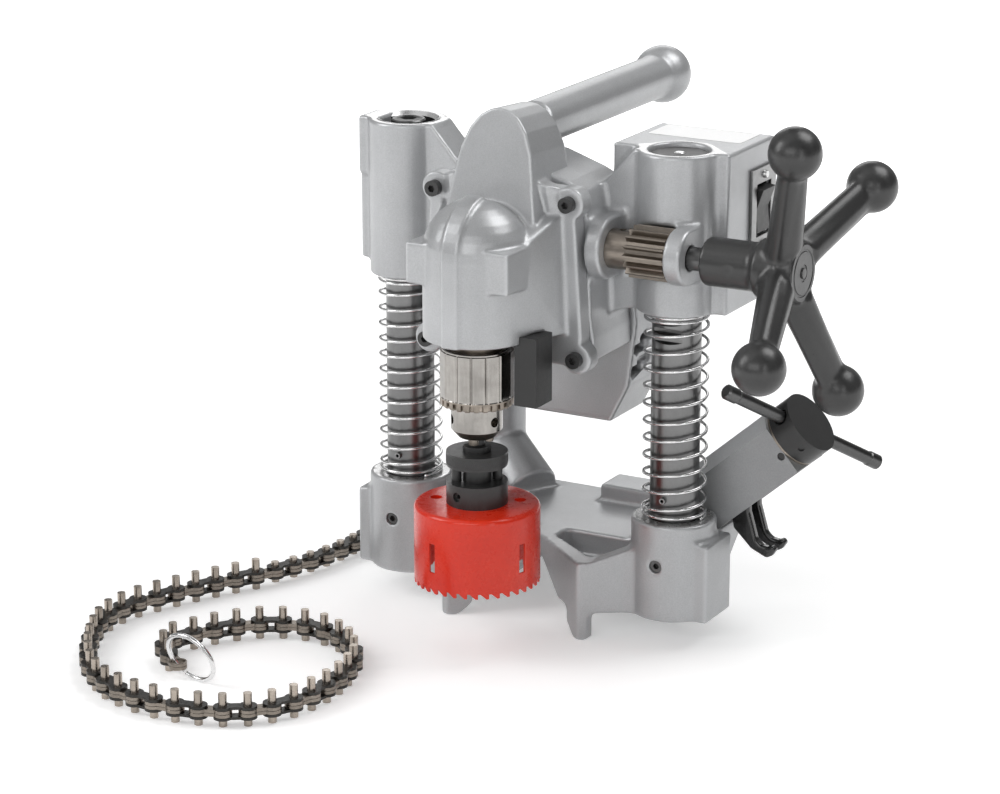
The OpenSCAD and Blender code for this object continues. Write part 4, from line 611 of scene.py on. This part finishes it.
def makeCoil(name, s):
    turns = s["curls"]
    pitch = (springTop - springFoot - wire - 2 * endTurns * endPitch) / (turns - 2 * endTurns)
    atPin = endTurns + (pinZ - springFoot - wire / 2 - endTurns * endPitch) / pitch - 0.5
    bm = bmesh.new()
    bmesh.ops.create_circle(bm, segments=12, radius=wire / 2, cap_ends=False)
    bmesh.ops.rotate(bm, verts=bm.verts, cent=(0, 0, 0), matrix=Matrix.Rotation(math.radians(90), 3, "X"))
    bmesh.ops.translate(bm, verts=bm.verts, vec=(coilR, 0, springFoot + wire / 2))
    start = Matrix.Rotation(math.radians(270.0 - 360.0 * atPin), 3, "Z")
    bmesh.ops.rotate(bm, verts=bm.verts, cent=(0, 0, 0), matrix=start)
    last = bm.verts[:] + bm.edges[:]
    for part, rise in ((endTurns, endPitch), (turns - 2 * endTurns, pitch), (endTurns, endPitch)):
        last = bmesh.ops.spin(bm, geom=last, cent=(0, 0, 0), axis=(0, 0, 1), dvec=(0, 0, rise / stepsPerTurn),
                              angle=math.radians(360.0 * part), steps=round(part * stepsPerTurn))["geom_last"]
    bmesh.ops.holes_fill(bm, edges=[e for e in bm.edges if e.is_boundary], sides=0)
    obj = finish(name, bm, "springWire", s["node"], 0, Matrix.Translation((s["x"], 0, 0)))
    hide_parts(s["node"])
    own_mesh(obj)


for name, s in springs.items():
    makeCoil(name, s)
print("springs made")


# Chuck sleeve: broad flat lands between fine grooves, over a toothed rim

spindleY = -80.0
sleeve = dict(radius=22.0, bore=19.6, foot=157.0, rim=162.0, top=192.0, lands=15, flat=0.85, groove=0.17, deep=0.75,
              teeth=25, gap=0.42, gapDeep=1.7, gapTop=160.6, steps=450)


def landRadius(s, turn):
    u = turn * s["lands"] % 1.0
    if u < s["groove"]:
        return s["radius"] - s["deep"] * math.sin(math.pi * u / s["groove"])
    half = math.pi / s["lands"] * (1.0 - s["groove"])
    off = (u - (1.0 + s["groove"]) / 2) * 2 * math.pi / s["lands"]
    return s["radius"] * (1.0 - s["flat"] * (1.0 - math.cos(half) / math.cos(off)))


def rimRadius(s, turn):
    return s["radius"] - (s["gapDeep"] if turn * s["teeth"] % 1.0 < s["gap"] else 0.0)


def makeSleeve(s):
    profile = [(s["foot"], lambda t: rimRadius(s, t) - 0.5), (s["foot"] + 0.5, lambda t: rimRadius(s, t)),
               (s["gapTop"], lambda t: rimRadius(s, t)), (s["gapTop"] + 0.5, lambda t: s["radius"]),
               (s["rim"], lambda t: s["radius"]), (s["rim"] + 0.6, lambda t: landRadius(s, t)),
               (s["top"] - 1.6, lambda t: landRadius(s, t)), (s["top"] - 1.2, lambda t: s["radius"] - 0.9),
               (s["top"] - 0.4, lambda t: s["radius"] - 0.9), (s["top"], lambda t: s["radius"] - 1.3),
               (s["top"], lambda t: s["bore"]), (s["foot"], lambda t: s["bore"])]
    bm = bmesh.new()
    bmesh.ops.create_circle(bm, segments=s["steps"], radius=1.0, cap_ends=False)
    ring, edges = bm.verts[:], bm.edges[:]
    for k, (z, radius) in enumerate(profile):
        if k:
            ring, edges = nextRing(bm, edges)
        for v in ring:
            t = math.atan2(v.co.y, v.co.x) / (2 * math.pi) % 1.0
            a, r = t * 2 * math.pi, radius(t)
            v.co = (r * math.cos(a), r * math.sin(a), z)
    closeEnds(bm)
    obj = finish("sleeveShell", bm, "chromeSteel", "chuck_sleeve", 14, Matrix.Translation((0, spindleY, 0)))
    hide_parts("chuck_sleeve")
    faceLook(obj, "tarnish", lambda c, n: c[:, 2] < s["rim"] + 0.1)


makeSleeve(sleeve)


# Knurled band round the drive ring

knurl = dict(radius=18.35, foot=119.9, top=126.6, rows=16, steps=540, pitchTurns=90, ridge=0.4, endIn=0.5,
             lean=math.pi / 6, inner=0.93)


def makeKnurl(k):
    bm = bmesh.new()
    bmesh.ops.create_circle(bm, segments=k["steps"], radius=k["radius"], cap_ends=False)
    rings, edges = [bm.verts[:]], bm.edges[:]
    for _ in range(k["rows"]):
        ring, edges = nextRing(bm, edges)
        bmesh.ops.translate(bm, vec=(0, 0, (k["top"] - k["foot"]) / k["rows"]), verts=ring)
        rings.append(ring)
    for row, ring in enumerate(rings):
        for v in ring:
            a, lean = math.atan2(v.co.y, v.co.x), row * k["lean"]
            ridge = abs(math.sin(a * k["pitchTurns"] / 2 + lean) * math.sin(a * k["pitchTurns"] / 2 - lean))
            r = k["radius"] + (-k["endIn"] if row in (0, k["rows"]) else k["ridge"] * ridge)
            v.co.x, v.co.y = r * math.cos(a), r * math.sin(a)
    for ring in (rings[0], rings[-1]):
        keep = set(ring)
        inner, _ = nextRing(bm, [e for e in bm.edges if keep.issuperset(e.verts)])
        bmesh.ops.scale(bm, vec=(k["inner"], k["inner"], 1), verts=inner)
    closeEnds(bm)
    bmesh.ops.translate(bm, vec=(0, 0, k["foot"]), verts=bm.verts)
    finish("ringKnurl", bm, "blackOxide", "drive_ring", 0, Matrix.Translation((0, spindleY, 0)))


makeKnurl(knurl)


# Turned pieces: left stop screw, the rim of its bore with painted shade inside, the right disc's bright centre as a
# painted highlight, the hub's cap and the cross bar

def addLathe(bm, profile, steps=64):
    verts = [bm.verts.new((r, 0, z)) for r, z in profile]
    edges = [bm.edges.new(pair) for pair in zip(verts, verts[1:])]
    bmesh.ops.spin(bm, geom=verts + edges, cent=(0, 0, 0), axis=(0, 0, 1), angle=2 * math.pi, steps=steps,
                   use_merge=True)
    bmesh.ops.remove_doubles(bm, verts=bm.verts, dist=1e-4)


leftStop = dict(at=(-columnX, 0, 293.0), washer=18.0, thick=3.0, head=10.6, tall=9.0, ease=0.8, hexR=5.2, hexDeep=5.0)


def makeLeftStop(s):
    bm = bmesh.new()
    top = s["thick"] + s["tall"]
    addLathe(bm, [(0, 0.02), (s["washer"] - 0.3, 0.02), (s["washer"], 0.3), (s["washer"], s["thick"] - 0.4),
                  (s["washer"] - 0.4, s["thick"]), (s["head"], s["thick"]), (s["head"], top - s["ease"]),
                  (s["head"] - s["ease"], top), (0, top)])
    obj = finish("leftStop", bm, "sootBlack", "left_stop_screw", 25, Matrix.Translation(s["at"]))
    x, y, z = s["at"]
    bm = bmesh.new()
    addRod(bm, "z", (x, y, z + top - s["hexDeep"]), s["hexR"], 2 * s["hexDeep"], 6)
    cutWith(obj, bm)
    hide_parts("left_stop_screw")
    faceLook(obj, "darkSteel", lambda c, n: (n[:, 2] > 0.5) & nearPole(c, x, y, s["head"]))


makeLeftStop(leftStop)

boreRim = dict(outer=18.9, inner=16.3, foot=296.1, ease=2.4)


def makeBoreRim(s):
    # the chamfered mouth of the left sleeve's counterbore, its wall below the chamfer painted near black as the shade
    # inside the bore
    bm = bmesh.new()
    top = sleeveTop + 0.08
    addLathe(bm, [(s["inner"], s["foot"]), (s["inner"], top - s["ease"]), (s["outer"], top - 0.1),
                  (s["outer"] + 0.5, top), (s["outer"] + 0.5, top - 0.3), (s["outer"] - 0.6, s["foot"]),
                  (s["inner"], s["foot"])])
    obj = finish("boreRim", bm, "machined", "carriage_casting", 25, Matrix.Translation((-columnX, 0, 0)))
    # painted shade: the faces below the chamfer are near black
    faceLook(obj, "sootBlack", lambda c, n: c[:, 2] < top - s["ease"] + 0.01)


makeBoreRim(boreRim)


# painted highlight: a small bright machined disc at the centre of the right stop disc
discCentreHighlight = dict(profile=[(0, 303.9), (2.6, 303.7), (3.4, 303.2), (3.4, 302.5), (0, 302.5)], steps=32)


def makeDiscCentreHighlight(s):
    bm = bmesh.new()
    addLathe(bm, s["profile"], s["steps"])
    finish("discCentreHighlight", bm, "machined", "right_stop_cap", 25, Matrix.Translation((columnX, 0, 0)))


makeDiscCentreHighlight(discCentreHighlight)

hubCap = dict(at=(182.0, -28.1, 248.0), radius=17.4, thick=4.0)


def makeHubCap(s):
    bm = bmesh.new()
    r, t = s["radius"], s["thick"]
    addLathe(bm, [(0, 0), (r, 0), (r, t - 0.8), (r - 0.8, t), (r - 3.2, t), (r - 3.7, t - 0.5), (r - 4.4, t - 0.5),
                  (r - 4.9, t), (5.2, t), (4.8, t - 1.0), (3.4, t - 1.0), (3.0, t + 0.6), (0, t + 0.8)])
    finish("hubCap", bm, "blackPaint", "feed_handle", 25, along("x", s["at"]))


makeHubCap(hubCap)

crossBar = dict(middle=(158.92, 40.0, 132.48), way=(0.4199, 0.7683, -0.4831), half=67.3, radius=4.1, end=4.7,
                endLong=9.0)


def makeCrossBar(s):
    bm = bmesh.new()
    h, r, e, n = s["half"], s["radius"], s["end"], s["endLong"]
    side = [(0, h), (e - 1.2, h), (e, h - 1.2), (e, h - n), (r, h - n - 1.0)]
    addLathe(bm, side + [(x, -z) for x, z in reversed(side)])
    turn = Matrix.Translation(s["middle"]) @ Vector(s["way"]).to_track_quat("Z", "Y").to_matrix().to_4x4()
    obj = finish("crossBar", bm, "darkSteel", "t_bar", 25, turn)
    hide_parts("t_bar")


makeCrossBar(crossBar)


print("turned pieces made")


# The bare label on the switch box

boxLabel = dict(low=(57, 29), high=(118, 58), corner=2.0, thick=0.25, z=sleeveTop - 0.05)


def makeBoxLabel(s):
    bm = bmesh.new()
    low, high = s["low"], s["high"]
    bmesh.ops.create_grid(bm, x_segments=1, y_segments=1, size=0.5)
    bmesh.ops.scale(bm, vec=(high[0] - low[0], high[1] - low[1], 1), verts=bm.verts)
    bmesh.ops.translate(bm, vec=((low[0] + high[0]) / 2, (low[1] + high[1]) / 2, s["z"]), verts=bm.verts)
    bmesh.ops.bevel(bm, geom=bm.verts[:], affect="VERTICES", offset=s["corner"], offset_type="OFFSET", segments=5,
                    profile=0.5, material=-1)
    pull(bm, bm.faces[:], (0, 0, s["thick"]))
    finish("boxTopLabel", bm, "paleLabel", "carriage_casting")


makeBoxLabel(boxLabel)
print("label made")


# Floor and light

def makeFloor(paper):
    m = bpy.data.materials.new("paper")
    m.use_nodes = True
    tree = m.node_tree
    p = tree.nodes["Principled BSDF"]
    p.inputs["Base Color"].default_value = grey(paper["colour"])
    p.inputs["Roughness"].default_value = 0.85
    p.inputs["Specular IOR Level"].default_value = 0.1
    path = tree.nodes.new("ShaderNodeLightPath")
    seen = math2(tree, "MAXIMUM", path.outputs["Is Camera Ray"], path.outputs["Is Glossy Ray"])
    seen = math2(tree, "MAXIMUM", seen, path.outputs["Is Transmission Ray"])
    p.inputs["Emission Color"].default_value = (1, 1, 1, 1)
    place = tree.nodes.new("ShaderNodeTexCoord")
    far = tree.nodes.new("ShaderNodeVectorMath")
    far.operation = "LENGTH"
    tree.links.new(place.outputs["Object"], far.inputs[0])
    lift = spread(tree, far.outputs["Value"], paper["near"], paper["far"], paper["lift"], 1.0)
    tree.links.new(math2(tree, "MULTIPLY", seen, lift), p.inputs["Emission Strength"])
    bm = bmesh.new()
    bmesh.ops.create_grid(bm, x_segments=4, y_segments=4, size=paper["size"])
    look["paper"] = m
    finish("floor", bm, "paper", None, 0)


paper = dict(colour=0.93, lift=0.30, near=0.45, far=1.6, size=12000.0)
lights = {
    "keySoft": dict(at=(-1300, -900, 1100), size=(800, 1000), power=11),
    "frontSoft": dict(at=(200, -1700, 900), size=(1400, 700), power=8),
    "topSoft": dict(at=(700, 500, 1500), size=(900, 900), power=12),
    "rightStrip": dict(at=(1200, -900, 500), size=(250, 900), power=2),
    "backSoft": dict(at=(-700, 1400, 900), size=(900, 700), power=4),
}
sun = dict(power=0.3, soft=50, down=(0.45, 0.35, -1.0))
sky = dict(low=0.25, middle=0.55, high=0.70, power=0.55, left=1.2, right=0.7, strips=5.0, turn=0.6, dim=0.35)


def makeLights():
    for name, s in lights.items():
        data = bpy.data.lights.new(name, "AREA")
        data.shape = "RECTANGLE"
        data.size, data.size_y = s["size"][0] * mm, s["size"][1] * mm
        data.energy = s["power"]
        obj = bpy.data.objects.new(name, data)
        bpy.context.scene.collection.objects.link(obj)
        obj.location = Vector(s["at"]) * mm
        obj.rotation_mode = "QUATERNION"
        obj.rotation_quaternion = (Vector((0, 0, 130)) - Vector(s["at"])).to_track_quat("-Z", "Y")
    data = bpy.data.lights.new("sunSoft", "SUN")
    data.energy = sun["power"]
    data.angle = math.radians(sun["soft"])
    obj = bpy.data.objects.new("sunSoft", data)
    bpy.context.scene.collection.objects.link(obj)
    obj.rotation_mode = "QUATERNION"
    obj.rotation_quaternion = Vector(sun["down"]).to_track_quat("-Z", "Y")


def makeSky(s):
    world = bpy.data.worlds.new("studio")
    bpy.context.scene.world = world
    world.use_nodes = True
    tree = world.node_tree
    place = tree.nodes.new("ShaderNodeTexCoord")
    sep = tree.nodes.new("ShaderNodeSeparateXYZ")
    tree.links.new(place.outputs["Generated"], sep.inputs[0])
    ramp = tree.nodes.new("ShaderNodeValToRGB")
    tree.links.new(sep.outputs[2], ramp.inputs[0])
    e = ramp.color_ramp.elements
    e[0].position, e[0].color = 0.0, grey(s["low"])
    e[1].position, e[1].color = 0.75, grey(s["high"])
    ramp.color_ramp.elements.new(0.25).color = grey(s["middle"])
    across = spread(tree, sep.outputs[0], -1.0, 1.0, s["left"], s["right"])
    colour = mix(tree, "MULTIPLY", 1.0, ramp.outputs[0], across)
    heading = math2(tree, "ARCTAN2", sep.outputs[1], sep.outputs[0])
    wave = math2(tree, "SINE", math2(tree, "ADD", math2(tree, "MULTIPLY", heading, s["strips"]), s["turn"]), 0.0)
    strips = spread(tree, wave, -0.5, 0.5, s["dim"], 1.15)
    colour = mix(tree, "MULTIPLY", 1.0, colour, strips)
    path = tree.nodes.new("ShaderNodeLightPath")
    seen = mix(tree, "MIX", path.outputs["Is Camera Ray"], colour, (1.0 / s["power"],) * 3 + (1.0,))
    tree.links.new(seen, tree.nodes["Background"].inputs[0])
    tree.nodes["Background"].inputs[1].default_value = s["power"]


makeFloor(paper)
makeLights()
makeSky(sky)
scene = bpy.context.scene
scene.view_settings.view_transform = "Standard"
